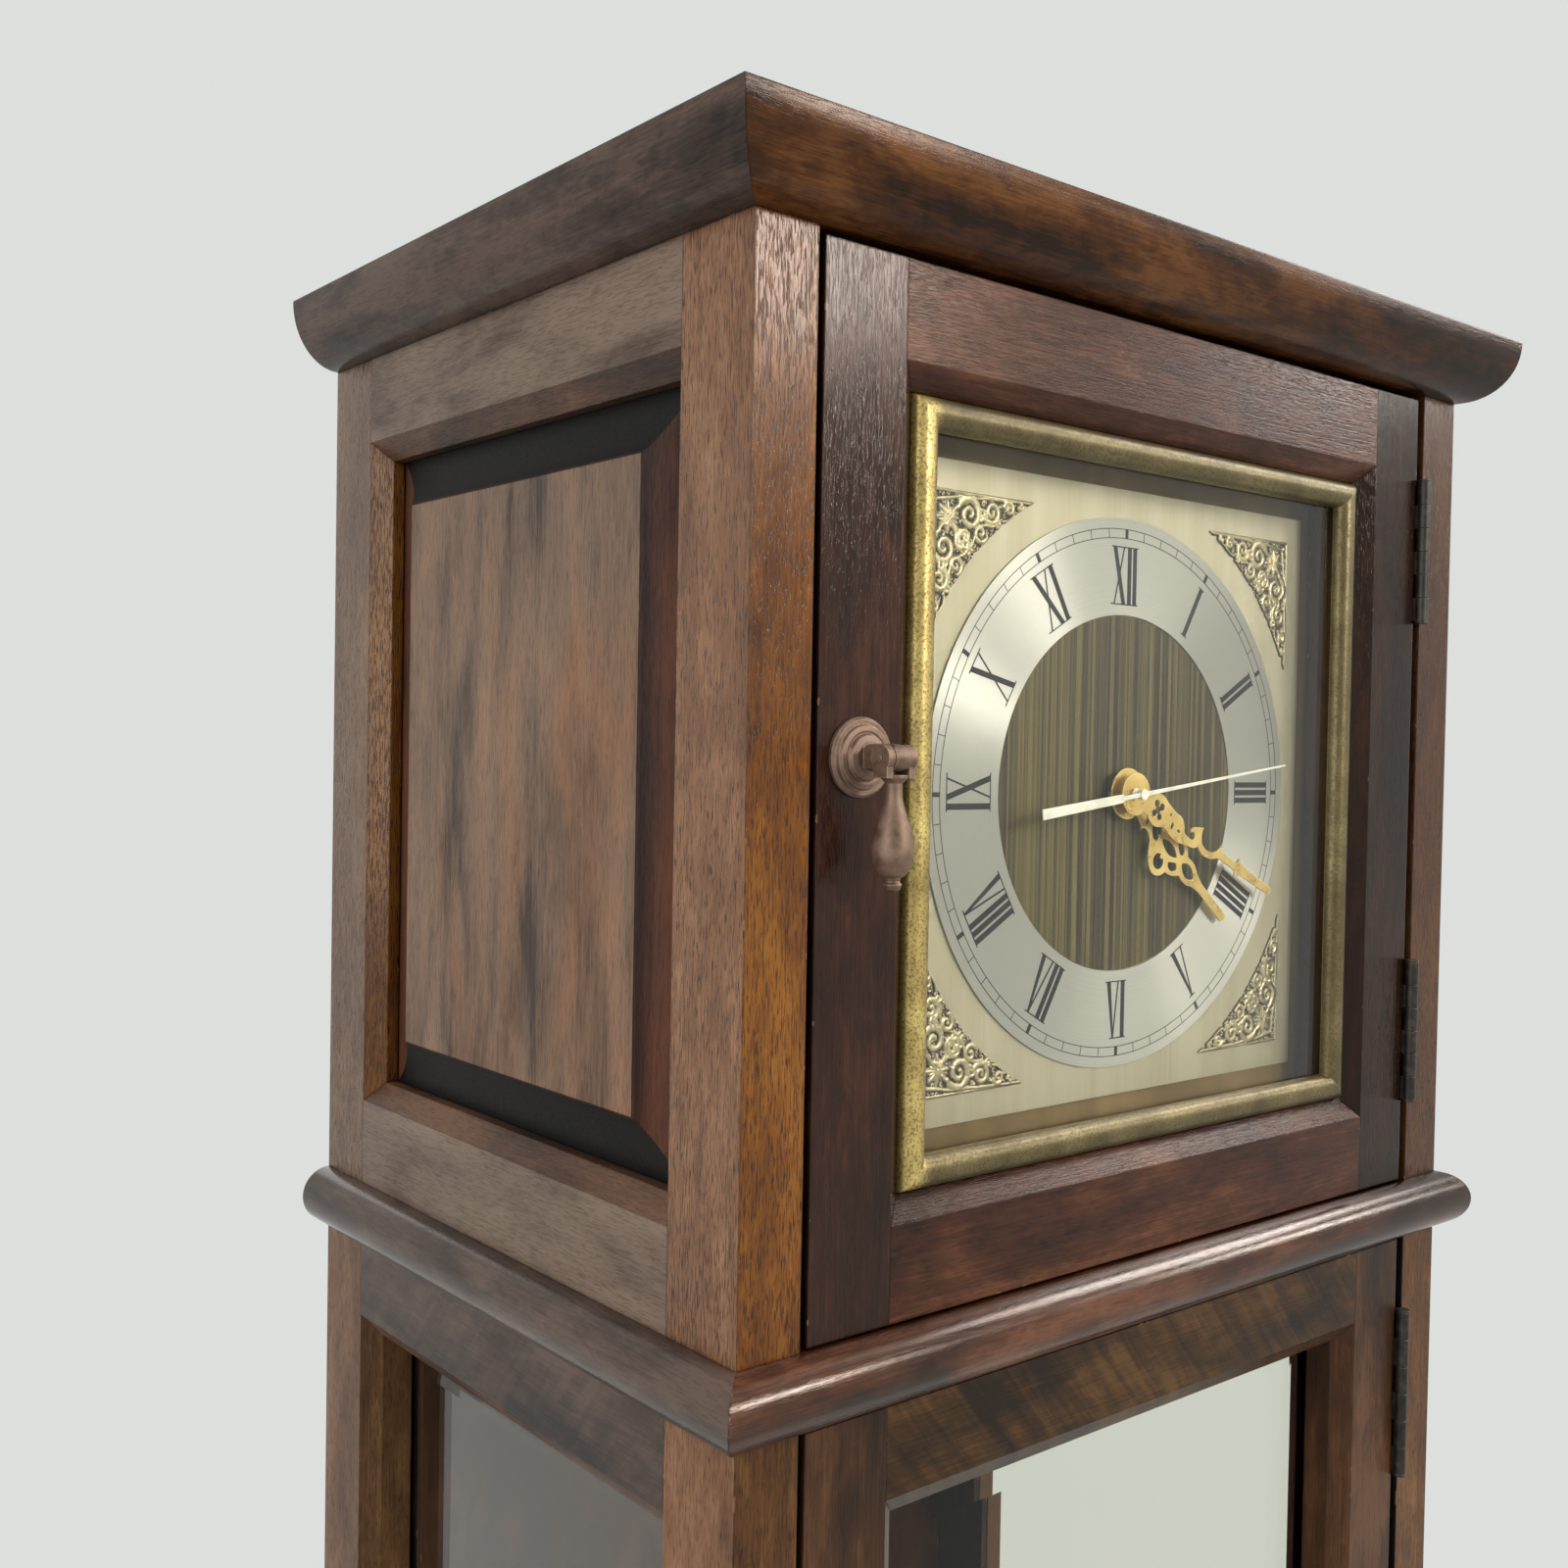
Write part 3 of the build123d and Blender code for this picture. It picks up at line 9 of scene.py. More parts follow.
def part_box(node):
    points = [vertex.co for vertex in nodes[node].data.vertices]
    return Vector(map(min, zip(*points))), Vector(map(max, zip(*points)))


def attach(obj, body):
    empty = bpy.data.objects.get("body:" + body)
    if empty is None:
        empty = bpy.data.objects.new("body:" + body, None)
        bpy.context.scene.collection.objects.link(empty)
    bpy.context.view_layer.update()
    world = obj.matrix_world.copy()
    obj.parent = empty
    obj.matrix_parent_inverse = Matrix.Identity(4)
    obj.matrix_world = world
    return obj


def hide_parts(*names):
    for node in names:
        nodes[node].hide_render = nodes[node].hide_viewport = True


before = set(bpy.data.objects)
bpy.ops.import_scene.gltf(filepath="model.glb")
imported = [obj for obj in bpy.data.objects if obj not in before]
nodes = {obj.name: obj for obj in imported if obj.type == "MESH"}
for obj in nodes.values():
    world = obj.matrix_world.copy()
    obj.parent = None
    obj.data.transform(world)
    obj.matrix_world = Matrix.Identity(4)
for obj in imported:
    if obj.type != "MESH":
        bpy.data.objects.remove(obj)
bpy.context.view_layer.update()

MM = 0.001

# Places read from the frame
ring_low, ring_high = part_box("chapter_ring")
spandrel_low, spandrel_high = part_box("spandrels")
case_low, case_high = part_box("hood_stiles")
dial_z = (ring_low.z + ring_high.z) / 2
dial_face_y = ring_low.y
front_y = case_low.y
half_width = case_high.x


def rgba(colour):
    return (*colour[:3], 1.0)


# How far the rounded normal turns on an arris, and how open an inner corner is before it gets painted
# shade
ARRIS_TURN = (0.02, 0.25)
CORNER_OPENNESS = (0.25, 0.85)


class Nodes:
    """Short ways to add nodes to one tree and to join them."""

    def __init__(self, tree):
        self.tree = tree
        tree.nodes.clear()

    def add(self, kind, **settings):
        node = self.tree.nodes.new(kind)
        for key, value in settings.items():
            setattr(node, key, value)
        return node

    def link(self, source, target):
        self.tree.links.new(source, target)

    def put(self, target, value):
        if isinstance(value, bpy.types.NodeSocket):
            self.link(value, target)
        else:
            target.default_value = value

    def math(self, operation, a, b=0.0, c=None, clamp=False):
        node = self.add("ShaderNodeMath", operation=operation, use_clamp=clamp)
        self.put(node.inputs[0], a)
        self.put(node.inputs[1], b)
        if c is not None:
            self.put(node.inputs[2], c)
        return node.outputs[0]


class Material(Nodes):
    """One material: the patterns that feed it, and the surface that they change."""

    def __init__(self, name):
        self.material = bpy.data.materials.new(name)
        self.material.use_nodes = True
        super().__init__(self.material.node_tree)
        output = self.add("ShaderNodeOutputMaterial")
        self.shader = self.add("ShaderNodeBsdfPrincipled")
        self.link(self.shader.outputs["BSDF"], output.inputs["Surface"])

    def set(self, **values):
        for key, value in values.items():
            name = key.replace("_", " ")
            socket = next(s for s in self.shader.inputs if s.name.lower() == name)
            self.put(socket, value)

    def base_colour(self):
        return self.shader.inputs["Base Color"].links[0].from_socket

    def mix(self, amount, a, b, blend="MIX"):
        node = self.add("ShaderNodeMix", data_type="RGBA", blend_type=blend)
        colours = [s for s in node.inputs if s.type == "RGBA"]
        self.put(node.inputs["Factor"], amount)
        for socket, colour in zip(colours, (a, b)):
            self.put(socket, colour if isinstance(colour, bpy.types.NodeSocket) else rgba(colour))
        return next(s for s in node.outputs if s.type == "RGBA")

    def toned(self, amount, base, tone):
        """The base, multiplied by a tone as far as the amount says."""
        return self.mix(amount, base, self.mix(1.0, base, tone, "MULTIPLY"))

    def ramp(self, value, *stops):
        node = self.add("ShaderNodeValToRGB")
        elements = node.color_ramp.elements
        while len(elements) < len(stops):
            elements.new(0.5)
        for element, (place, colour) in zip(elements, stops):
            element.position = place
            element.color = rgba(colour)
        self.link(value, node.inputs["Fac"])
        return node.outputs["Color"]

    def band(self, value, low, high, out_low=0.0, out_high=1.0):
        """A smooth step from one output to the other while the value goes from low to high."""
        node = self.add("ShaderNodeMapRange", interpolation_type="SMOOTHSTEP")
        self.put(node.inputs["Value"], value)
        node.inputs["From Min"].default_value = low
        node.inputs["From Max"].default_value = high
        node.inputs["To Min"].default_value = out_low
        node.inputs["To Max"].default_value = out_high
        return node.outputs["Result"]

    def place(self):
        return self.add("ShaderNodeTexCoord").outputs["Object"]

    def parts_of(self, vector):
        node = self.add("ShaderNodeSeparateXYZ")
        self.link(vector, node.inputs[0])
        return node.outputs[:3]

    def vector(self, x, y, z):
        node = self.add("ShaderNodeCombineXYZ")
        for socket, value in zip(node.inputs, (x, y, z)):
            self.put(socket, value)
        return node.outputs[0]

    def stretched(self, vector, scale, shift=(0.0, 0.0, 0.0)):
        node = self.add("ShaderNodeMapping")
        self.link(vector, node.inputs["Vector"])
        node.inputs["Scale"].default_value = scale
        node.inputs["Location"].default_value = shift
        return node.outputs["Vector"]

    def noise(self, vector, scale=1.0, detail=2.0, roughness=0.5, distortion=0.0):
        node = self.add("ShaderNodeTexNoise")
        self.link(vector, node.inputs["Vector"])
        node.inputs["Scale"].default_value = scale
        node.inputs["Detail"].default_value = detail
        node.inputs["Roughness"].default_value = roughness
        node.inputs["Distortion"].default_value = distortion
        return node.outputs["Fac"]

    def rounded(self, radius):
        node = self.add("ShaderNodeBevel", samples=4)
        node.inputs["Radius"].default_value = radius
        return node.outputs["Normal"]

    def edges(self, radius):
        """1 on the arrises, where the rounded normal turns away from the true one."""
        true_normal = self.add("ShaderNodeNewGeometry").outputs["Normal"]
        dot = self.add("ShaderNodeVectorMath", operation="DOT_PRODUCT")
        self.link(self.rounded(radius), dot.inputs[0])
        self.link(true_normal, dot.inputs[1])
        turned = self.math("SUBTRACT", 1.0, dot.outputs["Value"])
        return self.band(turned, *ARRIS_TURN)

    def corners(self, distance):
        """1 in the inner corners, found by ambient occlusion; the wood gets painted shade there."""
        node = self.add("ShaderNodeAmbientOcclusion", samples=4)
        node.inputs["Distance"].default_value = distance
        return self.band(node.outputs["AO"], *CORNER_OPENNESS, 1.0, 0.0)

    def bump(self, height, distance, strength=1.0, normal=None):
        node = self.add("ShaderNodeBump")
        node.inputs["Strength"].default_value = strength
        node.inputs["Distance"].default_value = distance
        self.link(height, node.inputs["Height"])
        if normal is not None:
            self.link(normal, node.inputs["Normal"])
        self.link(node.outputs["Normal"], self.shader.inputs["Normal"])


def dress(node_names, look):
    for name in node_names:
        mesh = nodes[name].data
        mesh.materials.clear()
        mesh.materials.append(look.material)


# Figure of the wood: noise cells per metre, twice across the grain and once along it
CLOUD_CELLS = (34, 34, 10)
FLECK_CELLS = (170, 170, 62)
FIBRE_CELLS = (1100, 1100, 38)
PORE_CELLS = (2000, 2000, 190)
STREAK_CELLS = (55, 55, 5)
CURL_CELLS = (9, 14, 105)
CURL_SLANT = 0.8
CHIP_CELLS = 170
SEED_STEPS = (1.37, 2.11, 0.73)
SIDE_FIGURE_SHIFT = 7.3

# Noise values at which a piece shows its dark, middle and light stain
STAIN_STOPS = (0.32, 0.5, 0.66)

# Noise values between which streaks, pores and chips set in
STREAK_BAND = (0.50, 0.76)
PORE_BAND = (0.50, 0.66)
CHIP_BAND = (0.70, 0.72)

# What the stain is multiplied by in the pores, where it gathers on arrises, and the painted shade in
# inner corners
PORE_TONE = (0.25, 0.22, 0.20)
STAIN_AND_SHADE_TONE = (0.20, 0.14, 0.13)
GATHERED_ON_ARRIS = 0.75
SHADE_IN_CORNER = 0.7
CHIP_COLOUR = (0.42, 0.25, 0.13)
# Near-black painted shade for faces turned into the case
INSIDE_SHADE_COLOUR = (0.010, 0.009, 0.008)
ARRIS_RADIUS = 1.3 * MM
SOFT_RADIUS = 1.0 * MM
CORNER_REACH = 5 * MM

# Roughness that the fibres and the pores add, and the depth of the figure
FIBRE_ROUGHNESS = 0.16
PORE_ROUGHNESS = 0.12
FIBRE_HEIGHT = 0.8
FIGURE_DEPTH = 0.18 * MM

# Where a face counts as turned outward or inward, by the outward part of its normal
OUTWARD_BAND = (0.80, 0.95)
INWARD_BAND = (-0.95, -0.80)

# Where the painted shade of the right side and the tone of the back set in
RIGHT_SHADE_REACH = (-0.12, 0.16)
RIGHT_SHADE_SHARES = (1.0, 0.92, 0.86)
BACK_REACH = (0.10, 0.14)

WARM_GLINT = (1.0, 0.84, 0.74)
PALE_GLINT = (1.0, 0.95, 0.9)


def grain_directions(m, axis, x, y, z):
    """The place along the grain, two places across it, and on a moulding what lies past the mitre."""
    if axis == "X":
        return x, y, z, None
    if axis == "Y":
        return y, x, z, None
    if axis == "Z":
        return z, x, y, None
    # Mitred mouldings run along X at the front and along Y at the sides
    past_mitre = m.math("ADD", m.math("ABSOLUTE", x), m.math("ADD", y, -half_width - front_y))
    at_side = m.math("GREATER_THAN", past_mitre, 0.0)
    at_front = m.math("SUBTRACT", 1.0, at_side)
    along_side = m.math("MULTIPLY", m.math("ADD", y, SIDE_FIGURE_SHIFT), at_side)
    along = m.math("ADD", m.math("MULTIPLY", x, at_front), along_side)
    across = m.math("ADD", m.math("MULTIPLY", y, at_front), m.math("MULTIPLY", x, at_side))
    return along, across, z, at_side


def figure_of(m, along, across_a, across_b, seed):
    """The noises that make up the figure of a board."""
    shift = [seed * step for step in SEED_STEPS]
    grain = m.vector(across_a, across_b, along)
    slanted = m.vector(across_a, across_b, m.math("MULTIPLY_ADD", across_b, CURL_SLANT, along))

    def layer(space, cells, **look):
        return m.noise(m.stretched(space, cells, shift), **look)

    return {
        "cloud": layer(grain, CLOUD_CELLS, detail=2, roughness=0.45, distortion=0.7),
        "fleck": layer(grain, FLECK_CELLS, detail=3, roughness=0.6, distortion=0.5),
        "fibre": layer(grain, FIBRE_CELLS, detail=3, roughness=0.6),
        "pore": layer(grain, PORE_CELLS, detail=2, roughness=0.5),
        "streak": layer(grain, STREAK_CELLS, detail=4, roughness=0.55, distortion=0.6),
        "curl": layer(slanted, CURL_CELLS, detail=3, roughness=0.55, distortion=1.0),
    }


def with_wear_and_shade(m, base, dashes, place):
    """Open pores, stain that gathers on arrises, painted shade in inner corners, and small chips on the
    arrises.
    """
    base = m.toned(dashes, base, PORE_TONE)
    arris = m.edges(ARRIS_RADIUS)
    on_arris = m.math("MULTIPLY", arris, GATHERED_ON_ARRIS)
    # Painted shade: inner corners, found by ambient occlusion, are darkened as if in shade
    corner_shade = m.math("MULTIPLY", m.corners(CORNER_REACH), SHADE_IN_CORNER)
    base = m.toned(m.math("MAXIMUM", on_arris, corner_shade), base, STAIN_AND_SHADE_TONE)
    chips = m.band(m.noise(place, scale=CHIP_CELLS, detail=1), *CHIP_BAND)
    return m.mix(m.math("MULTIPLY", arris, chips), base, CHIP_COLOUR)


# Stained wood: soft clouds of stain, small flecks, fibres and short open pores along the grain.
# A piece may have other tones where it faces sideways. It may get painted shade on the right of the case
# and on faces turned into the case, and every piece gets painted shade in its inner corners.
def wood(name, axis, seed, tones, side_tones=None, clouds=0.9, flecks=0.35, fibres=0.30, pores=0.35,
         streaks=0.0, ripple=0.0, gloss=0.36, shine=0.25, glint=WARM_GLINT, right_shade=1.0,
         back_tone=None, grain_rise=0.6, shaded_inside=False):
    m = Material(name)
    coordinates = m.add("ShaderNodeTexCoord").outputs
    x, y, z = m.parts_of(coordinates["Object"])
    outward = m.math("MULTIPLY", m.parts_of(coordinates["Normal"])[0], m.math("SIGN", x))
    along, across_a, across_b, at_side = grain_directions(m, axis, x, y, z)
    figure = figure_of(m, along, across_a, across_b, seed)

    # All noises lie about one half, so the sum does too
    centred = 0.5 - (clouds + flecks + fibres) / 2
    tone = m.math("MULTIPLY_ADD", figure["cloud"], clouds, centred)
    tone = m.math("MULTIPLY_ADD", figure["fleck"], flecks, tone)
    tone = m.math("MULTIPLY_ADD", figure["fibre"], fibres, tone)
    streak = m.math("MULTIPLY", m.band(figure["streak"], *STREAK_BAND), streaks)
    tone = m.math("SUBTRACT", tone, streak)
    tone = m.math("MULTIPLY_ADD", m.math("SUBTRACT", figure["curl"], 0.5), ripple, tone)
    base = m.ramp(tone, *zip(STAIN_STOPS, tones))
    if side_tones:
        faces_side = at_side or m.band(outward, *OUTWARD_BAND)
        base = m.mix(faces_side, base, m.ramp(tone, *zip(STAIN_STOPS, side_tones)))
    # Painted shade: pieces are painted darker towards the right side of the case
    if right_shade < 1.0:
        base = m.toned(m.band(x, *RIGHT_SHADE_REACH), base, [right_shade * share for share in RIGHT_SHADE_SHARES])
    if back_tone:
        base = m.toned(m.band(y, *BACK_REACH), base, back_tone)
    # Painted shade: faces turned inward, into the case, are painted near black
    if shaded_inside:
        base = m.mix(m.band(outward, *INWARD_BAND, 1.0, 0.0), base, INSIDE_SHADE_COLOUR)

    dashes = m.math("MULTIPLY", m.band(figure["pore"], *PORE_BAND), pores)
    base = with_wear_and_shade(m, base, dashes, coordinates["Object"])
    rough = m.math("MULTIPLY_ADD", figure["fibre"], FIBRE_ROUGHNESS, gloss - FIBRE_ROUGHNESS / 2)
    rough = m.math("MULTIPLY_ADD", dashes, PORE_ROUGHNESS, rough)
    m.set(base_color=base, roughness=rough, specular_ior_level=shine, specular_tint=rgba(glint))
    fibres_high = m.math("MULTIPLY", figure["fibre"], FIBRE_HEIGHT)
    relief = m.math("MULTIPLY_ADD", dashes, -1.0, fibres_high)
    m.bump(relief, FIGURE_DEPTH, grain_rise, m.rounded(SOFT_RADIUS))
    return m


# Stain tones, each from dark through middle to light
CORNICE = ((0.020, 0.0085, 0.0036), (0.080, 0.0270, 0.0070), (0.170, 0.064, 0.017))
CORNICE_SIDE = ((0.018, 0.014, 0.0120), (0.064, 0.040, 0.0310), (0.122, 0.076, 0.056))
DOOR = ((0.011, 0.0044, 0.0028), (0.031, 0.0105, 0.0055), (0.072, 0.025, 0.012))
DOOR_RAIL = ((0.018, 0.0070, 0.0040), (0.070, 0.0230, 0.0105), (0.160, 0.060, 0.028))
AMBER = ((0.066, 0.018, 0.0020), (0.182, 0.056, 0.0040), (0.310, 0.114, 0.010))
BROWN = ((0.115, 0.048, 0.0220), (0.250, 0.112, 0.0500), (0.380, 0.195, 0.096))
RAIL = ((0.026, 0.012, 0.0070), (0.080, 0.034, 0.0165), (0.160, 0.072, 0.034))
RAIL_SIDE = ((0.082, 0.044, 0.0280), (0.180, 0.116, 0.0790), (0.235, 0.160, 0.110))
FIELD = ((0.072, 0.052, 0.0420), (0.225, 0.147, 0.1010), (0.325, 0.194, 0.120))
PANEL_EDGE = ((0.010, 0.0045, 0.0032), (0.032, 0.0125, 0.0075), (0.085, 0.031, 0.016))
TRUNK_RAIL = ((0.012, 0.0060, 0.0018), (0.048, 0.0210, 0.0050), (0.110, 0.050, 0.013))
TRUNK_DOOR = ((0.013, 0.0060, 0.0028), (0.048, 0.0190, 0.0065), (0.110, 0.045, 0.017))
TRUNK_AMBER = ((0.036, 0.013, 0.0040), (0.115, 0.046, 0.0120), (0.205, 0.094, 0.029))
OLIVE = ((0.070, 0.045, 0.0120), (0.122, 0.081, 0.0240), (0.176, 0.120, 0.042))


# The raised field has its own stain. Above and below it the panel is almost black, beside it red-brown.
def panel_wood():
    warm_cells, warm_shift = (17, 17, 4), (3.1, 5.7, 0.4)
    warm_tone, slope_tone = (1.12, 0.86, 0.66), (0.46, 0.27, 0.22)
    dark_slope_colour = (0.0055, 0.0050, 0.0048)
    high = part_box("hood_side_panels")[1]
    vertices = [v.co for v in nodes["hood_side_panels"].data.vertices]
    field = [place for place in vertices if place.x > high.x - 0.1 * MM]
    field_low = Vector((high.x, min(v.y for v in field), min(v.z for v in field)))
    field_high = Vector((high.x, max(v.y for v in field), max(v.z for v in field)))
    middle = (field_low + field_high) / 2
    half = (field_high - field_low) / 2
    m = wood("wood_panels", "Z", 44, PANEL_EDGE, FIELD, clouds=0.60, flecks=0.18, pores=0.40,
             streaks=0.17, gloss=0.44, shine=0.16, glint=PALE_GLINT)
    place = m.place()
    x, y, z = m.parts_of(place)
    lowered = m.band(m.math("ABSOLUTE", x), high.x - 1.0 * MM, high.x - 0.3 * MM, 1.0, 0.0)
    past_end = m.math("SUBTRACT", m.math("ABSOLUTE", m.math("SUBTRACT", z, middle.z)), half.z)
    past_side = m.math("SUBTRACT", m.math("ABSOLUTE", m.math("SUBTRACT", y, middle.y)), half.y)
    beyond_mitre = m.math("GREATER_THAN", past_end, m.math("MAXIMUM", past_side, 0.2 * MM))
    warm = m.noise(m.stretched(place, warm_cells, warm_shift), detail=3, roughness=0.45,
                   distortion=0.6)
    base = m.toned(m.band(warm, 0.46, 0.66, 0.0, 0.8), m.base_colour(), warm_tone)
    base = m.toned(lowered, base, slope_tone)
    base = m.mix(m.math("MULTIPLY", lowered, beyond_mitre), base, dark_slope_colour)
    m.set(base_color=base)
    return m


# Plain board on the back of the hood
def hardboard():
    dark, light, stain_colour = (0.13, 0.075, 0.043), (0.24, 0.15, 0.09), (0.09, 0.05, 0.03)
    m = Material("hardboard")
    place = m.place()
    fuzz = m.noise(m.stretched(place, (700, 700, 420)), detail=4, roughness=0.7)
    stain = m.noise(place, scale=7, detail=3)
    base = m.ramp(fuzz, (0.3, dark), (0.7, light))
    base = m.mix(m.band(stain, 0.35, 0.7, 0.0, 0.35), base, stain_colour)
    m.set(base_color=base, roughness=m.band(fuzz, 0.2, 0.8, 0.6, 0.8))
    m.bump(fuzz, 0.2 * MM, 0.6)
    return m


# Antique gold, speckled, with the base showing where it is rubbed, and a painted highlight on the left
# bar
def gilding():
    dark, middle, light = (0.098, 0.071, 0.026), (0.158, 0.121, 0.047), (0.23, 0.182, 0.078)
    speck_colour, worn_colour = (0.055, 0.038, 0.015), (0.55, 0.42, 0.2)
    highlight_tone = (3.6, 3.5, 2.9)
    left_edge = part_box("gilt_frame")[0].x
    highlight_inside, highlight_end = left_edge + 5 * MM, left_edge + 13 * MM
    m = Material("gilding")
    place = m.place()
    cloud = m.noise(place, scale=60, detail=4, roughness=0.6)
    speck = m.noise(place, scale=950, detail=2, roughness=0.7)
    base = m.ramp(cloud, (0.3, dark), (0.55, middle), (0.8, light))
    # Painted highlight: the left bar of the frame, turned to the light, is painted brighter
    painted_highlight = m.band(m.parts_of(place)[0], highlight_inside, highlight_end, 1.0, 0.0)
    base = m.toned(painted_highlight, base, highlight_tone)
    base = m.mix(m.band(speck, 0.48, 0.62, 0.0, 0.62), base, speck_colour)
    worn = m.math("MULTIPLY", m.edges(1.2 * MM), m.band(speck, 0.35, 0.6))
    base = m.mix(worn, base, worn_colour)
    m.set(base_color=base, metallic=0.55, roughness=m.band(speck, 0.2, 0.8, 0.28, 0.46))
    m.bump(speck, 0.09 * MM, 0.7, m.rounded(0.6 * MM))
    return m


# Glass lets most of the light through, so what stands behind it isn't in shadow
def glass(name, tint, ior):
    let_through = 0.92
    m = Material(name)
    haze = m.noise(m.place(), scale=9, detail=4, roughness=0.6)
    shadow_ray = m.add("ShaderNodeLightPath").outputs["Is Shadow Ray"]
    solid = m.math("SUBTRACT", 1.0, m.math("MULTIPLY", shadow_ray, let_through))
    m.set(base_color=rgba(tint), roughness=m.band(haze, 0.45, 0.75, 0.0, 0.012),
          transmission_weight=1.0, ior=ior, alpha=solid)
    return m


# Champagne metal, brushed upright
def brushed_plate():
    dark, light = (0.240, 0.213, 0.125), (0.330, 0.297, 0.188)
    sheen_colour, tarnish_colour = (0.40, 0.368, 0.260), (0.45, 0.36, 0.22)
    m = Material("brushed_plate")
    place = m.place()
    brush = m.noise(m.stretched(place, (1800, 1800, 9)), detail=3, roughness=0.7)
    broad = m.noise(m.stretched(place, (60, 60, 2.5)), detail=2)
    tarnish = m.noise(place, scale=16, detail=4, roughness=0.65)
    base = m.ramp(brush, (0.25, dark), (0.75, light))
    base = m.mix(m.band(broad, 0.35, 0.65, 0.0, 0.35), base, sheen_colour)
    base = m.mix(m.band(tarnish, 0.55, 0.8, 0.0, 0.3), base, tarnish_colour)
    m.set(base_color=base, metallic=0.45, roughness=m.band(brush, 0.2, 0.8, 0.44, 0.56))
    m.bump(brush, 0.03 * MM, 0.6)
    return m


# Silvered ring turned on a lathe, so its sheen runs in fans from the centre
def silvered_ring():
    dark, light, tarnish_colour = (0.355, 0.345, 0.288), (0.53, 0.518, 0.440), (0.52, 0.50, 0.42)
    grooves_per_metre = 2600.0
    m = Material("silvered_ring")
    place = m.place()
    x, y, z = m.parts_of(place)
    up = m.math("SUBTRACT", z, dial_z)
    radius = m.math("SQRT", m.math("ADD", m.math("MULTIPLY", x, x), m.math("MULTIPLY", up, up)))
    groove = m.vector(m.math("MULTIPLY", radius, grooves_per_metre), 0.0, 0.0)
    turning = m.noise(groove, detail=3, roughness=0.7)
    cloud = m.noise(place, scale=14, detail=4, roughness=0.6)
    base = m.ramp(turning, (0.25, dark), (0.75, light))
    base = m.mix(m.band(cloud, 0.5, 0.8, 0.0, 0.25), base, tarnish_colour)
    m.set(base_color=base, metallic=0.85, roughness=0.32, anisotropic=0.90, anisotropic_rotation=0.25)
    radial = m.add("ShaderNodeTangent", direction_type="RADIAL", axis="Y")
    m.link(radial.outputs[0], m.shader.inputs["Tangent"])
    m.bump(turning, 0.02 * MM, 0.5)
    return m


# Olive-brown disc printed and brushed like upright wood grain
def streaked_disc():
    dark, middle, light = (0.010, 0.0052, 0.0006), (0.030, 0.0225, 0.0030), (0.088, 0.070, 0.014)
    line_colour, sheen_colour = (0.105, 0.086, 0.028), (0.060, 0.047, 0.012)
    m = Material("streaked_disc")
    place = m.place()
    broad = m.noise(m.stretched(place, (520, 520, 1.1)), detail=4, roughness=0.75)
    thin = m.noise(m.stretched(place, (1700, 1700, 12)), detail=2, roughness=0.6)
    sheen = m.noise(m.stretched(place, (22, 22, 1.5)), detail=2)
    base = m.ramp(broad, (0.42, dark), (0.50, middle), (0.57, light))
    base = m.mix(m.band(thin, 0.55, 0.8, 0.0, 0.4), base, line_colour)
    base = m.mix(m.band(sheen, 0.4, 0.7, 0.0, 0.25), base, sheen_colour)
    m.set(base_color=base, metallic=0.15, roughness=m.band(thin, 0.2, 0.8, 0.42, 0.55),
          specular_ior_level=0.25)
    m.bump(broad, 0.03 * MM, 0.1)
    return m


def dial_ink():
    dark, light = (0.006, 0.006, 0.007), (0.018, 0.017, 0.016)
    m = Material("dial_ink")
    fleck = m.noise(m.place(), scale=900, detail=3)
    m.set(base_color=m.ramp(fleck, (0.3, dark), (0.8, light)),
          roughness=m.band(fleck, 0.2, 0.8, 0.32, 0.5), specular_ior_level=0.2)
    return m


# Cast relief with its recesses darkened. Height above the plate tells high from low.
def cast_brass(base_y, top_y):
    dull_gold, bright_gold = (0.38, 0.31, 0.16), (0.66, 0.58, 0.36)
    dark_dirt, light_dirt = (0.010, 0.0085, 0.006), (0.035, 0.028, 0.017)
    depth = base_y - top_y
    dark_below, bright_above = base_y - depth * 0.28, top_y + depth * 0.12
    m = Material("cast_brass")
    place = m.place()
    raised = m.band(m.parts_of(place)[1], dark_below, bright_above)
    grit = m.noise(place, scale=1500, detail=3, roughness=0.7)
    gold = m.ramp(grit, (0.3, dull_gold), (0.75, bright_gold))
    dirt = m.ramp(grit, (0.3, dark_dirt), (0.75, light_dirt))
    uneven = m.math("MULTIPLY_ADD", m.math("SUBTRACT", grit, 0.5), 0.5, raised, clamp=True)
    m.set(base_color=m.mix(uneven, dirt, gold), metallic=m.band(uneven, 0.2, 0.7, 0.25, 0.95),
          roughness=m.band(uneven, 0.1, 0.9, 0.62, 0.28))
    m.bump(grit, 0.05 * MM, 0.6)
    return m


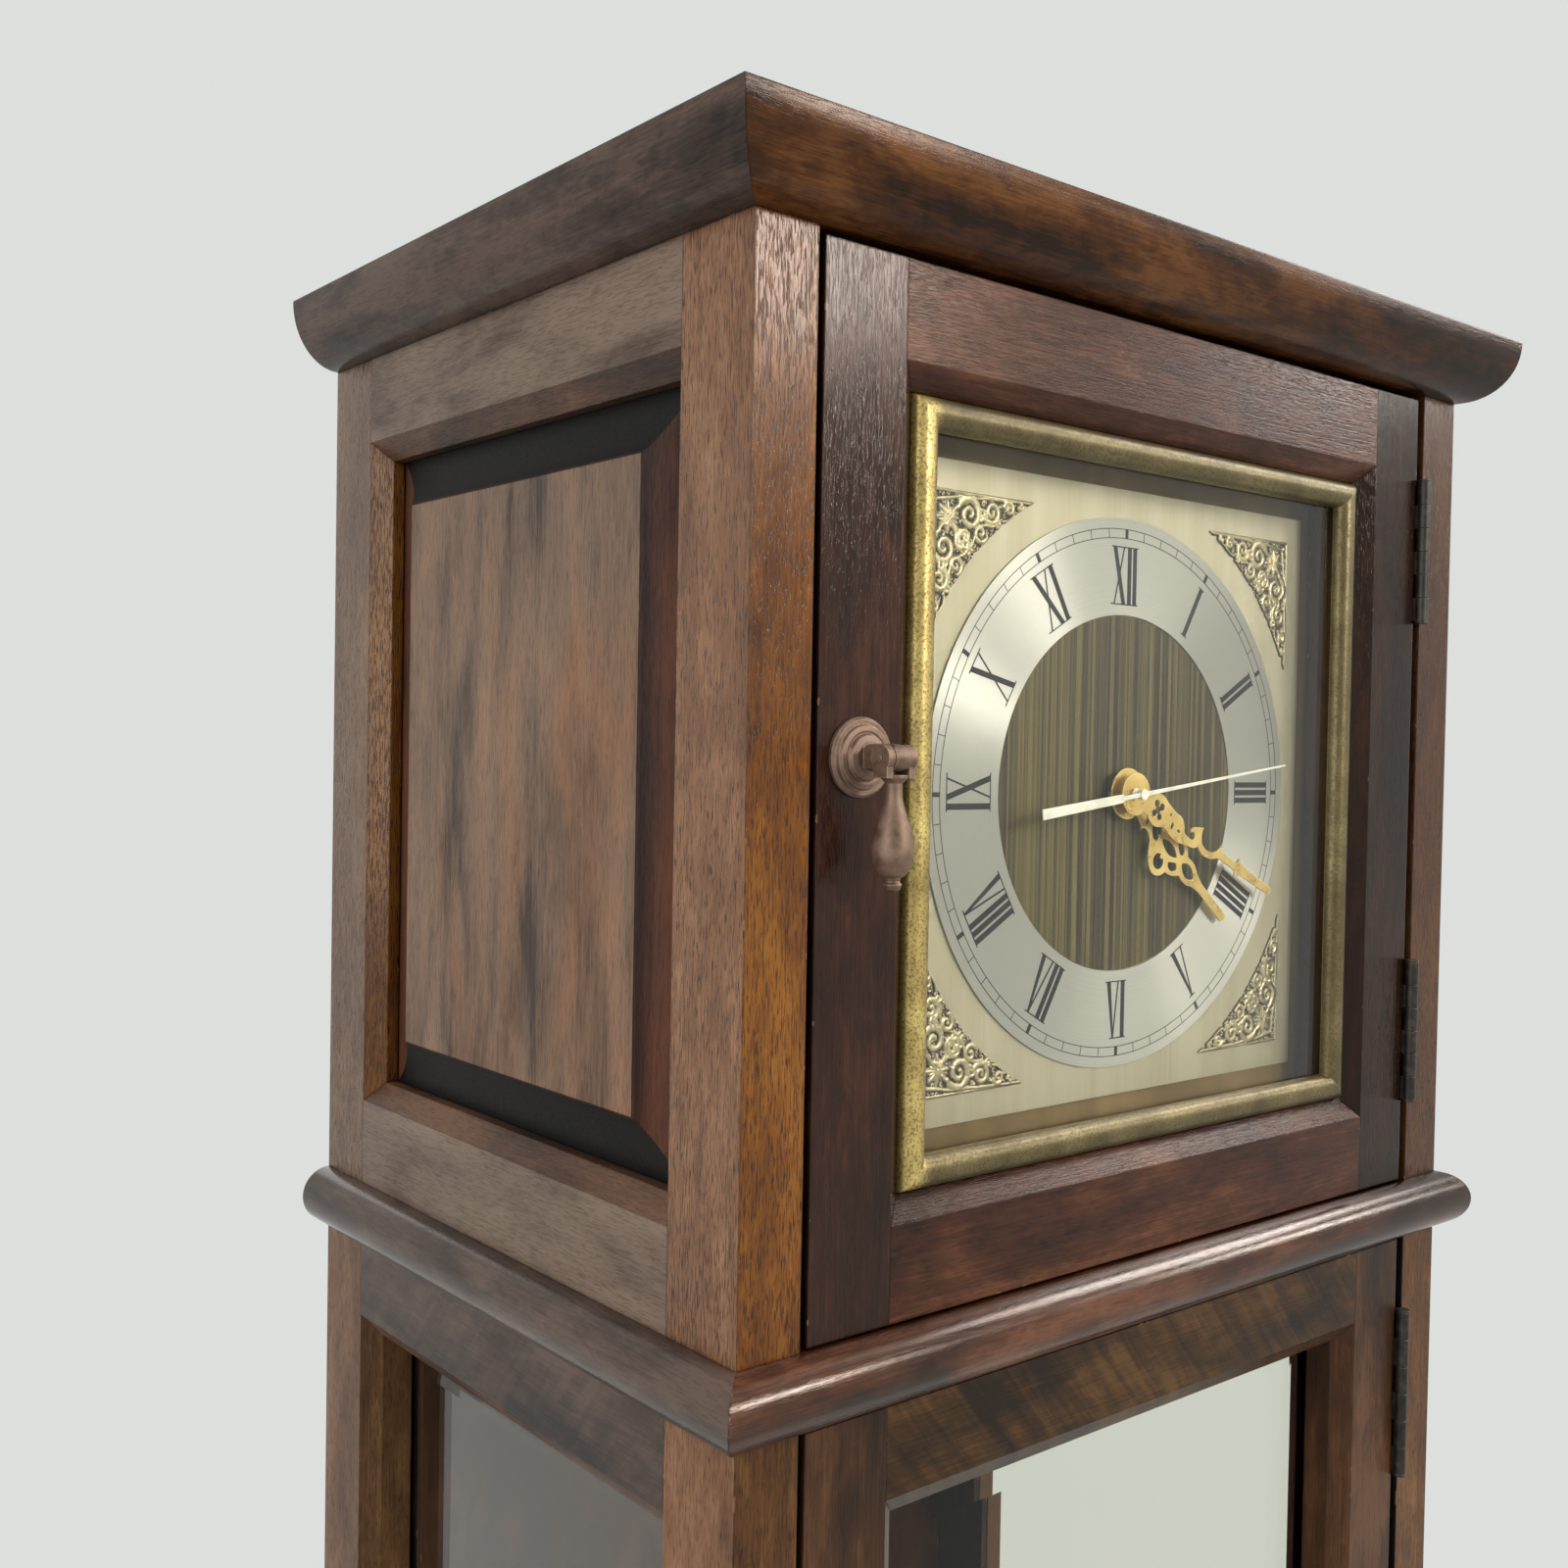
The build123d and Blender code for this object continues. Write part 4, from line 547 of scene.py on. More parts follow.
# Metal from its dark, middle and light tone, rubbed bright on the arrises and pitted
def worn_metal(name, low, mid, high, metallic, rough, scale=180.0, edge=1.0, pitting=0.45):
    rubbed_colour = [min(1.0, part * 1.7) for part in high]
    pit_colour = [part * 0.4 for part in low]
    pits_per_cloud = 7
    m = Material(name)
    place = m.place()
    cloud = m.noise(place, scale=scale, detail=5, roughness=0.65)
    pits = m.noise(place, scale=scale * pits_per_cloud, detail=2, roughness=0.6)
    base = m.ramp(cloud, (0.32, low), (0.52, mid), (0.78, high))
    rubbed = m.math("MULTIPLY", m.edges(0.7 * MM), edge)
    base = m.mix(rubbed, base, rubbed_colour)
    base = m.mix(m.band(pits, 0.60, 0.72, 0.0, pitting), base, pit_colour)
    roughness = m.band(cloud, 0.25, 0.8, rough - 0.07, rough + 0.1)
    m.set(base_color=base, metallic=metallic, roughness=roughness)
    m.bump(pits, 0.06 * MM, 0.5, m.rounded(0.4 * MM))
    return m


def moulded_plastic(name, low, high, rough, scale=900.0):
    m = Material(name)
    place = m.place()
    grain = m.noise(place, scale=scale, detail=3, roughness=0.65)
    cloud = m.noise(place, scale=25, detail=2)
    m.set(base_color=m.mix(m.band(cloud, 0.3, 0.7), low, high),
          roughness=m.band(grain, 0.2, 0.8, rough - 0.06, rough + 0.08))
    m.bump(grain, 0.06 * MM, 0.5, m.rounded(0.3 * MM))
    return m


# The copper winding shows its turns around the X axis
def winding():
    wire_pitch = 0.35 * MM
    gap_colour, copper_colour = (0.12, 0.03, 0.008), (0.55, 0.20, 0.06)
    m = Material("winding")
    x = m.parts_of(m.place())[0]
    turns = m.math("SINE", m.math("MULTIPLY", x, 2 * math.pi / wire_pitch))
    share = m.math("MULTIPLY_ADD", turns, 0.5, 0.5)
    base = m.ramp(share, (0.0, gap_colour), (1.0, copper_colour))
    m.set(base_color=base, metallic=0.8, roughness=0.3)
    m.bump(turns, 0.06 * MM, 0.8)
    return m


def mesh_piece(name, vertices, faces, look, body, smooth=False):
    mesh = bpy.data.meshes.new(name)
    mesh.from_pydata([tuple(v) for v in vertices], [], faces)
    mesh.materials.append(look.material)
    mesh.update()
    if smooth:
        mesh.polygons.foreach_set("use_smooth", [True] * len(mesh.polygons))
    piece = bpy.data.objects.new(name, mesh)
    bpy.context.scene.collection.objects.link(piece)
    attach(piece, body)
    return piece


RING_STEPS = 240


class Plates:
    """Thin flat plates in the plane of the dial, gathered into one mesh."""

    def __init__(self):
        self.vertices = []
        self.faces = []

    def add(self, outline, face_y, back_y):
        start = len(self.vertices)
        count = len(outline)
        area = sum(a[0] * b[1] - b[0] * a[1] for a, b in zip(outline, outline[1:] + outline[:1]))
        if area < 0:
            outline = outline[::-1]
        self.vertices += [(u, face_y, v) for u, v in outline]
        self.vertices += [(u, back_y, v) for u, v in outline]
        self.faces.append([start + i for i in range(count)])
        for i in range(count):
            j = (i + 1) % count
            self.faces.append([start + i, start + count + i, start + count + j, start + j])

    def ring(self, inner, outer, face_y, back_y):
        start = len(self.vertices)
        for i in range(RING_STEPS):
            angle = 2 * math.pi * i / RING_STEPS
            for radius, y in ((inner, back_y), (inner, face_y), (outer, face_y), (outer, back_y)):
                place = (radius * math.sin(angle), y, dial_z + radius * math.cos(angle))
                self.vertices.append(place)
        for i in range(RING_STEPS):
            a = start + 4 * i
            b = start + 4 * ((i + 1) % RING_STEPS)
            for k in range(3):
                self.faces.append([a + k, b + k, b + k + 1, a + k + 1])


# Roman numerals. Widths are shares of the height. Thin serifs join the strokes at top and bottom.
THICK = 0.100
THIN = 0.034
SERIF = 0.022
OVERHANG = 0.035
STEM_STEP = 0.142
STEM_V_OVERLAP = 0.02
V_REACH = 0.125
V_FOOT_SHARE = 0.45
X_REACH = 0.155
X_REACH_LONG = 0.125
NUMERALS = ["XII", "I", "II", "III", "IIII", "V", "VI", "VII", "VIII", "IX", "X", "XI"]


def bar(x0, x1, y0, y1):
    return [(x0, y0), (x1, y0), (x1, y1), (x0, y1)]


def slant(x0, x1, width_low, width_high):
    low, high = width_low / 2, width_high / 2
    return [(x0 - low, 0), (x0 + low, 0), (x1 + high, 1), (x1 - high, 1)]


def letter_i(x, reach):
    return [bar(x - THICK / 2, x + THICK / 2, 0, 1)], (x, x), (x, x)


def letter_v(x, reach):
    strokes = [slant(x, x - reach, THICK * V_FOOT_SHARE, THICK), slant(x, x + reach, THIN, THIN)]
    return strokes, (x, x), (x - reach, x + reach)


def letter_x(x, reach):
    strokes = [slant(x + reach, x - reach, THICK, THICK), slant(x - reach, x + reach, THIN, THIN)]
    return strokes, (x - reach, x + reach), (x - reach, x + reach)


LETTERS = {"I": letter_i, "V": letter_v, "X": letter_x}


def numeral_strokes(text):
    """The strokes of a numeral about its middle, and the serifs that join their feet and heads."""
    reach = {"I": STEM_STEP / 2, "V": V_REACH, "X": X_REACH_LONG if len(text) > 2 else X_REACH}
    gap = {"I": 0.0, "V": STEM_STEP / 2 - STEM_V_OVERLAP, "X": STEM_STEP / 2}
    width = sum(2 * reach[letter] for letter in text)
    width += sum(max(gap[a], gap[b]) for a, b in zip(text, text[1:]))
    x = -width / 2
    strokes, feet, heads = [], [], []
    previous = None
    for letter in text:
        if previous:
            x += max(gap[previous], gap[letter])
        x += reach[letter]
        drawn, foot, head = LETTERS[letter](x, reach[letter])
        strokes += drawn
        feet += foot
        heads += head
        x += reach[letter]
        previous = letter
    margin = THICK / 2 + OVERHANG
    strokes.append(bar(min(feet) - margin, max(feet) + margin, 0, SERIF))
    strokes.append(bar(min(heads) - margin, max(heads) + margin, 1 - SERIF, 1))
    return strokes


# What is printed on the chapter ring
numeral_inner = 76.0 * MM
numeral_height = 23.5 * MM
track_inner = 102.8 * MM
track_outer = 106.5 * MM
minute_line = 0.32 * MM
minute_block_half = 0.9 * MM
print_lift = 0.05 * MM
print_layer_step = 0.004 * MM
circle_lift = 0.055 * MM


def dial_directions(degrees):
    """Outward and clockwise, at an angle from the top of the dial."""
    angle = math.radians(degrees)
    outward = Vector((math.sin(angle), math.cos(angle)))
    clockwise = Vector((math.cos(angle), -math.sin(angle)))
    return outward, clockwise


def add_numeral(plates, hour, text):
    outward, clockwise = dial_directions(30 * hour)
    turn = -1 if 4 <= hour <= 8 else 1
    middle = outward * (numeral_inner + numeral_height / 2)
    for layer, stroke in enumerate(numeral_strokes(text)):
        outline = []
        for u, v in stroke:
            across = clockwise * u * numeral_height
            up = outward * (v - 0.5) * numeral_height
            point = middle + turn * (across + up)
            outline.append((point.x, dial_z + point.y))
        face_y = dial_face_y - print_lift - print_layer_step * (layer % 4)
        plates.add(outline, face_y, dial_face_y + print_lift)


def add_minute(plates, minute):
    outward, clockwise = dial_directions(6 * minute)
    half = minute_block_half if minute % 5 == 0 else minute_line / 2
    outline = []
    for u, v in bar(-half, half, track_inner, track_outer):
        point = outward * v + clockwise * u
        outline.append((point.x, dial_z + point.y))
    plates.add(outline, dial_face_y - print_lift, dial_face_y + print_lift)


# Numerals and minute track stand a hair above the chapter ring
def make_dial_marks(look):
    plates = Plates()
    for hour, text in enumerate(NUMERALS):
        add_numeral(plates, hour, text)
    for minute in range(60):
        add_minute(plates, minute)
    for radius in (track_inner, track_outer):
        plates.ring(radius - minute_line / 2, radius + minute_line / 2,
                    dial_face_y - circle_lift, dial_face_y + print_lift)
    mesh_piece("dial_marks", plates.vertices, plates.faces, look, "case")


# Relief of a spandrel, in millimetres from the outer corner. All of it but the shell and the small
# curls also appears mirrored in the diagonal.
# Scrolls: centre, radius, turns, starting angle, direction, stroke width
SCROLLS = [
    (21.5, 8.2, 6.4, 1.6, 200, 1, 1.35),
    (33.2, 6.2, 4.6, 1.5, 160, -1, 1.15),
    (42.6, 4.1, 2.9, 1.3, 190, 1, 0.9),
    (49.0, 2.5, 1.6, 1.1, 170, -1, 0.7),
    (17.0, 19.2, 4.3, 1.4, 60, -1, 1.1),
    (27.4, 14.6, 3.6, 1.3, 20, 1, 0.95),
    (37.0, 10.0, 2.0, 1.1, 40, 1, 0.7),
    (8.5, 27.5, 3.0, 1.2, 100, 1, 0.85),
]
# Leaves and stems, as points and a stroke width
STEMS = [
    ([(4.0, 4.0), (11.0, 3.0), (17.0, 1.9), (24.0, 1.6)], 1.0),
    ([(26.5, 12.0), (30.0, 11.4), (34.0, 11.6), (38.6, 8.2)], 0.8),
    ([(24.5, 2.0), (31.0, 1.4), (38.0, 1.3), (46.0, 1.0), (54.5, 0.9)], 0.8),
    ([(12.5, 12.5), (14.5, 15.5), (14.0, 19.0)], 1.1),
    ([(21.0, 16.5), (23.5, 18.6), (24.0, 16.4)], 0.8),
    ([(29.5, 17.4), (31.5, 16.6), (30.6, 14.8)], 0.7),
    ([(39.5, 9.0), (42.0, 8.6), (45.5, 6.2)], 0.7),
    ([(45.0, 5.4), (48.5, 5.0), (53.0, 2.6)], 0.6),
    ([(15.5, 5.4), (13.2, 7.4), (12.8, 10.0)], 0.9),
]
# Beads: centre and radius
BEADS = [
    (29.6, 3.0, 0.9),
    (27.2, 8.6, 1.0),
    (38.6, 3.2, 0.8),
    (22.8, 21.4, 1.2),
    (45.8, 2.4, 0.6),
    (3.2, 3.2, 1.2),
]
SCROLL_STEPS = 26
SCROLL_SHRINK = 0.86
SCROLL_WIDENING = 1.15
STROKE_TAPER = 0.45
LOBE_DEPTH = 0.5
LOBE_STEP = 0.95
LOBE_MIDDLE = 0.4
STEM_TOP_SHARE = 0.85
SHELL_CENTRE = 10.2
SHELL_RADIUS = 6.6
SHELL_PETALS = 8
SHELL_RIBS = 16
SHELL_ROUNDNESS = 0.4
CURL_SPACING = 2.3
CURL_REACH = 0.95
CURL_RADIUS = 0.72
CURL_HALF_WIDTH = 0.36
CURL_OPENING = 0.75
CURL_TOP_SHARE = 0.62
CURL_DOT_RADIUS = 0.3
CURL_DOT_TOP_SHARE = 0.5
BARE_HEIGHT = 0.12
BARE_SHARE = 0.45
RIM_MIDDLE = 0.55
RIM_HALF_WIDTH = 0.6
RIM_TOP_SHARE = 0.7


def dome(gap, radius):
    """Height of a half-round stroke, as a share of its top, at a distance from its middle."""
    return np.sqrt(np.clip(1 - (gap / radius) ** 2, 0, None))


def stroke_height(grid_p, grid_q, points, width, top, lobes=0.0):
    height = np.zeros_like(grid_p)
    count = len(points) - 1
    for index in range(count):
        (p0, q0), (p1, q1) = points[index], points[index + 1]
        local = width * (1.0 - STROKE_TAPER * index / count)
        local *= 1.0 + lobes * (abs(math.sin(index * LOBE_STEP)) - LOBE_MIDDLE)
        along_p, along_q = p1 - p0, q1 - q0
        length_squared = along_p ** 2 + along_q ** 2 + 1e-9
        t = np.clip(((grid_p - p0) * along_p + (grid_q - q0) * along_q) / length_squared, 0, 1)
        gap = np.hypot(grid_p - p0 - t * along_p, grid_q - q0 - t * along_q)
        height = np.maximum(height, top * dome(gap, local))
    return height


def scroll_points(p, q, radius, turns, start, way):
    points = []
    for i in range(SCROLL_STEPS + 1):
        t = i / SCROLL_STEPS
        r = radius * (1 - SCROLL_SHRINK * t)
        angle = math.radians(start) + way * 2 * math.pi * turns * t
        points.append((p + r * math.cos(angle), q + r * math.sin(angle)))
    return points


def scrollwork(grid_p, grid_q, top):
    height = np.zeros_like(grid_p)
    for *scroll, width in SCROLLS:
        stroke = stroke_height(grid_p, grid_q, scroll_points(*scroll), width * SCROLL_WIDENING,
                               top, LOBE_DEPTH)
        height = np.maximum(height, stroke)
    for points, width in STEMS:
        stroke = stroke_height(grid_p, grid_q, points, width, top * STEM_TOP_SHARE)
        height = np.maximum(height, stroke)
    for p, q, radius in BEADS:
        height = np.maximum(height, top * dome(np.hypot(grid_p - p, grid_q - q), radius))
    return height


# A shell of eight petals with ribs fills the corner
def shell(grid_p, grid_q, top):
    from_centre = np.hypot(grid_p - SHELL_CENTRE, grid_q - SHELL_CENTRE)
    turn = np.arctan2(grid_q - SHELL_CENTRE, grid_p - SHELL_CENTRE)
    petals = 0.62 + 0.38 * np.abs(np.cos(turn * SHELL_PETALS / 2))
    ribs = 0.75 + 0.25 * np.cos(turn * SHELL_RIBS)
    swelling = np.clip(1 - (from_centre / (SHELL_RADIUS * petals)) ** 2, 0, None)
    return top * ribs * swelling ** SHELL_ROUNDNESS


# Small open curls, each with a dot in it, fill what is left between the scrolls
def with_small_curls(grid_p, grid_q, height, top):
    rows = int(grid_p.max() / CURL_SPACING)
    for row in range(rows):
        for column in range(rows):
            p = (row + 0.5) * CURL_SPACING
            q = (column + 0.5 + 0.5 * (row % 2)) * CURL_SPACING
            near = np.hypot(grid_p - p, grid_q - q)
            below = height[near < CURL_REACH]
            if below.size and (below > BARE_HEIGHT).mean() < BARE_SHARE:
                # Neighbours open in different directions
                turn = np.arctan2(grid_q - q, grid_p - p) + row * 1.9 + column * 2.7
                curl = dome(near - CURL_RADIUS, CURL_HALF_WIDTH) * (np.cos(turn) < CURL_OPENING)
                dot = dome(near, CURL_DOT_RADIUS)
                filling = np.maximum(CURL_TOP_SHARE * curl, CURL_DOT_TOP_SHARE * dot)
                height = np.maximum(height, top * filling)
    return height


def corner_relief(grid_p, grid_q, top):
    height = np.maximum(scrollwork(grid_p, grid_q, top), scrollwork(grid_q, grid_p, top))
    height = np.maximum(height, shell(grid_p, grid_q, top))
    height = with_small_curls(grid_p, grid_q, height, top)
    rim = dome(np.minimum(grid_p, grid_q) - RIM_MIDDLE, RIM_HALF_WIDTH)
    return np.maximum(height, top * RIM_TOP_SHARE * rim)


def make_spandrels(look):
    grid_step = 0.28
    floor_height = 0.28
    arc_radius = 124.3
    arc_edge = 0.2
    wave_middle = 1.2
    wave_depth = 0.9
    waves_per_radian = 44
    corner = spandrel_high.x / MM
    depth = (spandrel_high.y - spandrel_low.y) / MM
    leg = corner - math.sqrt(arc_radius ** 2 - corner ** 2)
    axis = np.linspace(0, leg, int(leg / grid_step) + 1)
    grid_p, grid_q = np.meshgrid(axis, axis, indexing="ij")
    relief = corner_relief(grid_p, grid_q, depth - floor_height)

    # The inner edge is a wave, and strokes may run past it up to the ring
    from_dial = np.hypot(corner - grid_p, corner - grid_q)
    wave = wave_depth * np.sin(np.arctan2(corner - grid_q, corner - grid_p) * waves_per_radian)
    solid = (from_dial > arc_radius + wave_middle + wave) | (relief > BARE_HEIGHT)
    solid &= from_dial > arc_radius - arc_edge
    height = np.where(solid, floor_height + relief, 0.0)

    # A cell of the grid is drawn when one of its corners is solid
    cells = solid[:-1, :-1] | solid[1:, :-1] | solid[:-1, 1:] | solid[1:, 1:]
    used = np.zeros_like(solid)
    for shift_p in (0, 1):
        for shift_q in (0, 1):
            used[shift_p:shift_p + cells.shape[0], shift_q:shift_q + cells.shape[1]] |= cells
    number = np.cumsum(used).reshape(used.shape) - 1
    quads = []
    for i, j in np.argwhere(cells):
        corners = (number[i, j], number[i + 1, j], number[i + 1, j + 1], number[i, j + 1])
        quads.append([int(n) for n in corners])
    surface = list(zip(grid_p[used], grid_q[used], height[used]))

    for index, (side, rise) in enumerate(((-1, 1), (1, 1), (-1, -1), (1, -1))):
        vertices = []
        for p, q, h in surface:
            x, z = side * (corner - p) * MM, dial_z + rise * (corner - q) * MM
            vertices.append((x, spandrel_high.y - h * MM, z))
        faces = quads if side * rise < 0 else [quad[::-1] for quad in quads]
        piece = mesh_piece(f"spandrel_relief_{index}", vertices, faces, look, "case",
                           smooth=True)
        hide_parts("spandrels")


# Wood of the case. Every node that meets another has its own seed, so no figure crosses a joint.
dress(["cornice"],
      wood("wood_cornice", "moulding", 3, CORNICE, CORNICE_SIDE, clouds=1.0, flecks=0.5, ripple=0.15,
           gloss=0.20, shine=0.20, right_shade=0.5, grain_rise=0.2))
dress(["waist_moulding"],
      wood("wood_waist", "moulding", 5, DOOR_RAIL, CORNICE_SIDE, gloss=0.16, shine=0.5,
           right_shade=0.6, grain_rise=0.2))
dress(["base_moulding", "skirting"],
      wood("wood_base", "moulding", 8, DOOR_RAIL, CORNICE_SIDE, gloss=0.20, shine=0.35))
dress(["plinth_boards"],
      wood("wood_plinth", "Z", 12, TRUNK_AMBER, CORNICE_SIDE, clouds=0.55, flecks=0.3, ripple=0.3))
dress(["hood_stiles"],
      wood("wood_hood_stiles", "Z", 21, AMBER, BROWN, clouds=0.45, pores=1.0, gloss=0.20, shine=0.42,
           right_shade=0.40, back_tone=(0.64, 0.72, 0.82)))
dress(["trunk_stiles"],
      wood("wood_trunk_stiles", "Z", 27, TRUNK_AMBER, BROWN, clouds=0.55, pores=0.7, grain_rise=0.2,
           back_tone=(0.7, 0.76, 0.84), shaded_inside=True))
dress(["hood_side_rails"],
      wood("wood_hood_rails", "Y", 31, RAIL, RAIL_SIDE, clouds=0.85, flecks=0.25, pores=0.45,
           ripple=0.1, shine=0.35, glint=PALE_GLINT))
dress(["trunk_side_rails"],
      wood("wood_trunk_rails", "Y", 37, RAIL, CORNICE_SIDE, clouds=1.0, pores=0.12, ripple=0.3,
           shine=0.35, shaded_inside=True))
dress(["side_glass_strips"],
      wood("wood_side_strips", "Z", 39, PANEL_EDGE, CORNICE_SIDE, pores=0.3, shine=0.15,
           shaded_inside=True))
dress(["hood_side_panels"], panel_wood())
dress(["hood_door_stiles"],
      wood("wood_door_stiles", "Z", 52, DOOR, clouds=0.6, gloss=0.17, shine=0.30, right_shade=0.45))
dress(["hood_door_rails"],
      wood("wood_door_rails", "X", 57, DOOR_RAIL, clouds=0.7, flecks=0.28, ripple=0.1, gloss=0.22,
           shine=0.24))
dress(["trunk_door_stiles"],
      wood("wood_trunk_door_stiles", "Z", 61, TRUNK_DOOR, clouds=0.7, pores=0.3))
dress(["trunk_door_rails"],
      wood("wood_trunk_door_rails", "X", 66, TRUNK_RAIL, clouds=0.5, flecks=0.3, pores=0.2,
           ripple=0.6))
dress(["trunk_door_strips"], wood("wood_door_strips", "Z", 68, DOOR, pores=0.3))
dress(["top_board", "waist_board", "base_board"], wood("wood_boards", "X", 71, RAIL, clouds=0.8))
dress(["trunk_back_panel"],
      wood("wood_backs", "Z", 76, DOOR, clouds=0.6, fibres=0.10, pores=0.1, gloss=0.5, shine=0.12,
           grain_rise=0.1))
dress(["dial_board"],
      wood("wood_dial_board", "Z", 79, OLIVE, clouds=0.6, flecks=0.2, fibres=0.10, pores=0.1,
           gloss=0.5, shine=0.12, grain_rise=0.1))
dress(["hood_back_cover"], hardboard())

# Glass and gilding
dress(["gilt_frame"], gilding())
dress(["dial_glass"], glass("dial_glass", (0.985, 0.985, 0.965), 1.3))
dress(["side_glass"], glass("plate_glass", (0.975, 0.970, 0.905), 1.5))
dress(["trunk_door_glass"], glass("door_glass", (0.93, 0.95, 0.90), 1.2))

# Dial and hands
dress(["dial_plate"], brushed_plate())
dress(["chapter_ring"], silvered_ring())
dress(["centre_disc"], streaked_disc())
dress(["hour_hand", "minute_hand"],
      worn_metal("gold_hands", (0.50, 0.33, 0.09), (0.62, 0.43, 0.13), (0.74, 0.55, 0.20),
                 metallic=0.8, rough=0.30, scale=60, edge=0.8, pitting=0.05))
dress(["second_hand"],
      worn_metal("cream_enamel", (0.48, 0.46, 0.36), (0.58, 0.56, 0.45), (0.66, 0.64, 0.53),
                 metallic=0.1, rough=0.38, scale=120, edge=0.3, pitting=0.05))
make_dial_marks(dial_ink())
make_spandrels(cast_brass(spandrel_high.y, spandrel_low.y))

# Metal fittings
dress(["hood_pull_rosette", "hood_pull_drop", "trunk_pull_rosette", "trunk_pull_drop"],
      worn_metal("copper_brown", (0.12, 0.070, 0.045), (0.20, 0.125, 0.085), (0.30, 0.195, 0.140),
                 metallic=0.6, rough=0.50, scale=160, edge=0.8, pitting=0.3))
dress(["case_hinge_leaves", "hinge_pins", "hood_door_leaves", "trunk_door_leaves"],
      worn_metal("dark_bronze", (0.018, 0.015, 0.013), (0.035, 0.030, 0.025), (0.075, 0.062, 0.048),
                 metallic=0.7, rough=0.42))
dress(["cover_screws", "hood_strike_plate", "trunk_strike_plate"],
      worn_metal("zinc", (0.30, 0.30, 0.28), (0.45, 0.45, 0.43), (0.60, 0.60, 0.58),
                 metallic=0.9, rough=0.35))
dress(["fixing_nut", "battery_contacts"],
      worn_metal("nickel", (0.40, 0.39, 0.36), (0.58, 0.57, 0.54), (0.72, 0.71, 0.68),
                 metallic=1.0, rough=0.22))

# Movement
dress(["movement_case", "movement_lid", "setting_knob", "magnet_catches"],
      moulded_plastic("black_plastic", (0.012, 0.012, 0.013), (0.022, 0.022, 0.023), rough=0.48))
dress(["seconds_wheel", "rotor", "third_wheel", "centre_wheel", "minute_pipe", "motion_wheel",
       "hour_wheel"],
      moulded_plastic("white_acetal", (0.62, 0.60, 0.52), (0.74, 0.72, 0.65), rough=0.35))
dress(["circuit_board"],
      moulded_plastic("board_green", (0.015, 0.10, 0.04), (0.025, 0.15, 0.06), rough=0.35, scale=2400))
dress(["battery"],
      worn_metal("cell_jacket", (0.20, 0.21, 0.22), (0.27, 0.28, 0.29), (0.34, 0.35, 0.36),
                 metallic=0.6, rough=0.35, scale=40, edge=0.4))
dress(["drive_coil"], winding())


# Plain pale floor
def make_floor():
    dark, light = (0.70, 0.71, 0.70), (0.74, 0.75, 0.74)
    floor_radius = 1.35
    m = Material("floor")
    speckle = m.noise(m.place(), scale=60, detail=4, roughness=0.6)
    m.set(base_color=m.ramp(speckle, (0.3, dark), (0.7, light)), roughness=0.75)
    mesh = bpy.data.meshes.new("floor")
    build = bmesh.new()
    bmesh.ops.create_circle(build, cap_ends=True, segments=96, radius=floor_radius)
    build.to_mesh(mesh)
    build.free()
    mesh.materials.append(m.material)
    floor = bpy.data.objects.new("floor", mesh)
    bpy.context.scene.collection.objects.link(floor)


# Pale room: one colour for what is seen, also through glass and in polish, and a softer one for
# what lights the clock
def make_world():
    world = bpy.data.worlds.new("room")
    bpy.context.scene.world = world
    world.use_nodes = True
    n = Nodes(world.node_tree)
    ray = n.add("ShaderNodeLightPath").outputs
    direct = n.math("MAXIMUM", ray["Is Camera Ray"], ray["Is Transmission Ray"])
    seen_by_ray = n.math("MAXIMUM", direct, ray["Is Glossy Ray"])
    seen = n.add("ShaderNodeBackground")
    seen.inputs["Color"].default_value = (0.72, 0.74, 0.72, 1)
    lighting = n.add("ShaderNodeBackground")
    lighting.inputs["Color"].default_value = (0.92, 0.96, 1.0, 1)
    lighting.inputs["Strength"].default_value = 0.38
    mixed = n.add("ShaderNodeMixShader")
    n.link(seen_by_ray, mixed.inputs["Fac"])
    n.link(lighting.outputs[0], mixed.inputs[1])
    n.link(seen.outputs[0], mixed.inputs[2])
    output = n.add("ShaderNodeOutputWorld")
    n.link(mixed.outputs[0], output.inputs["Surface"])


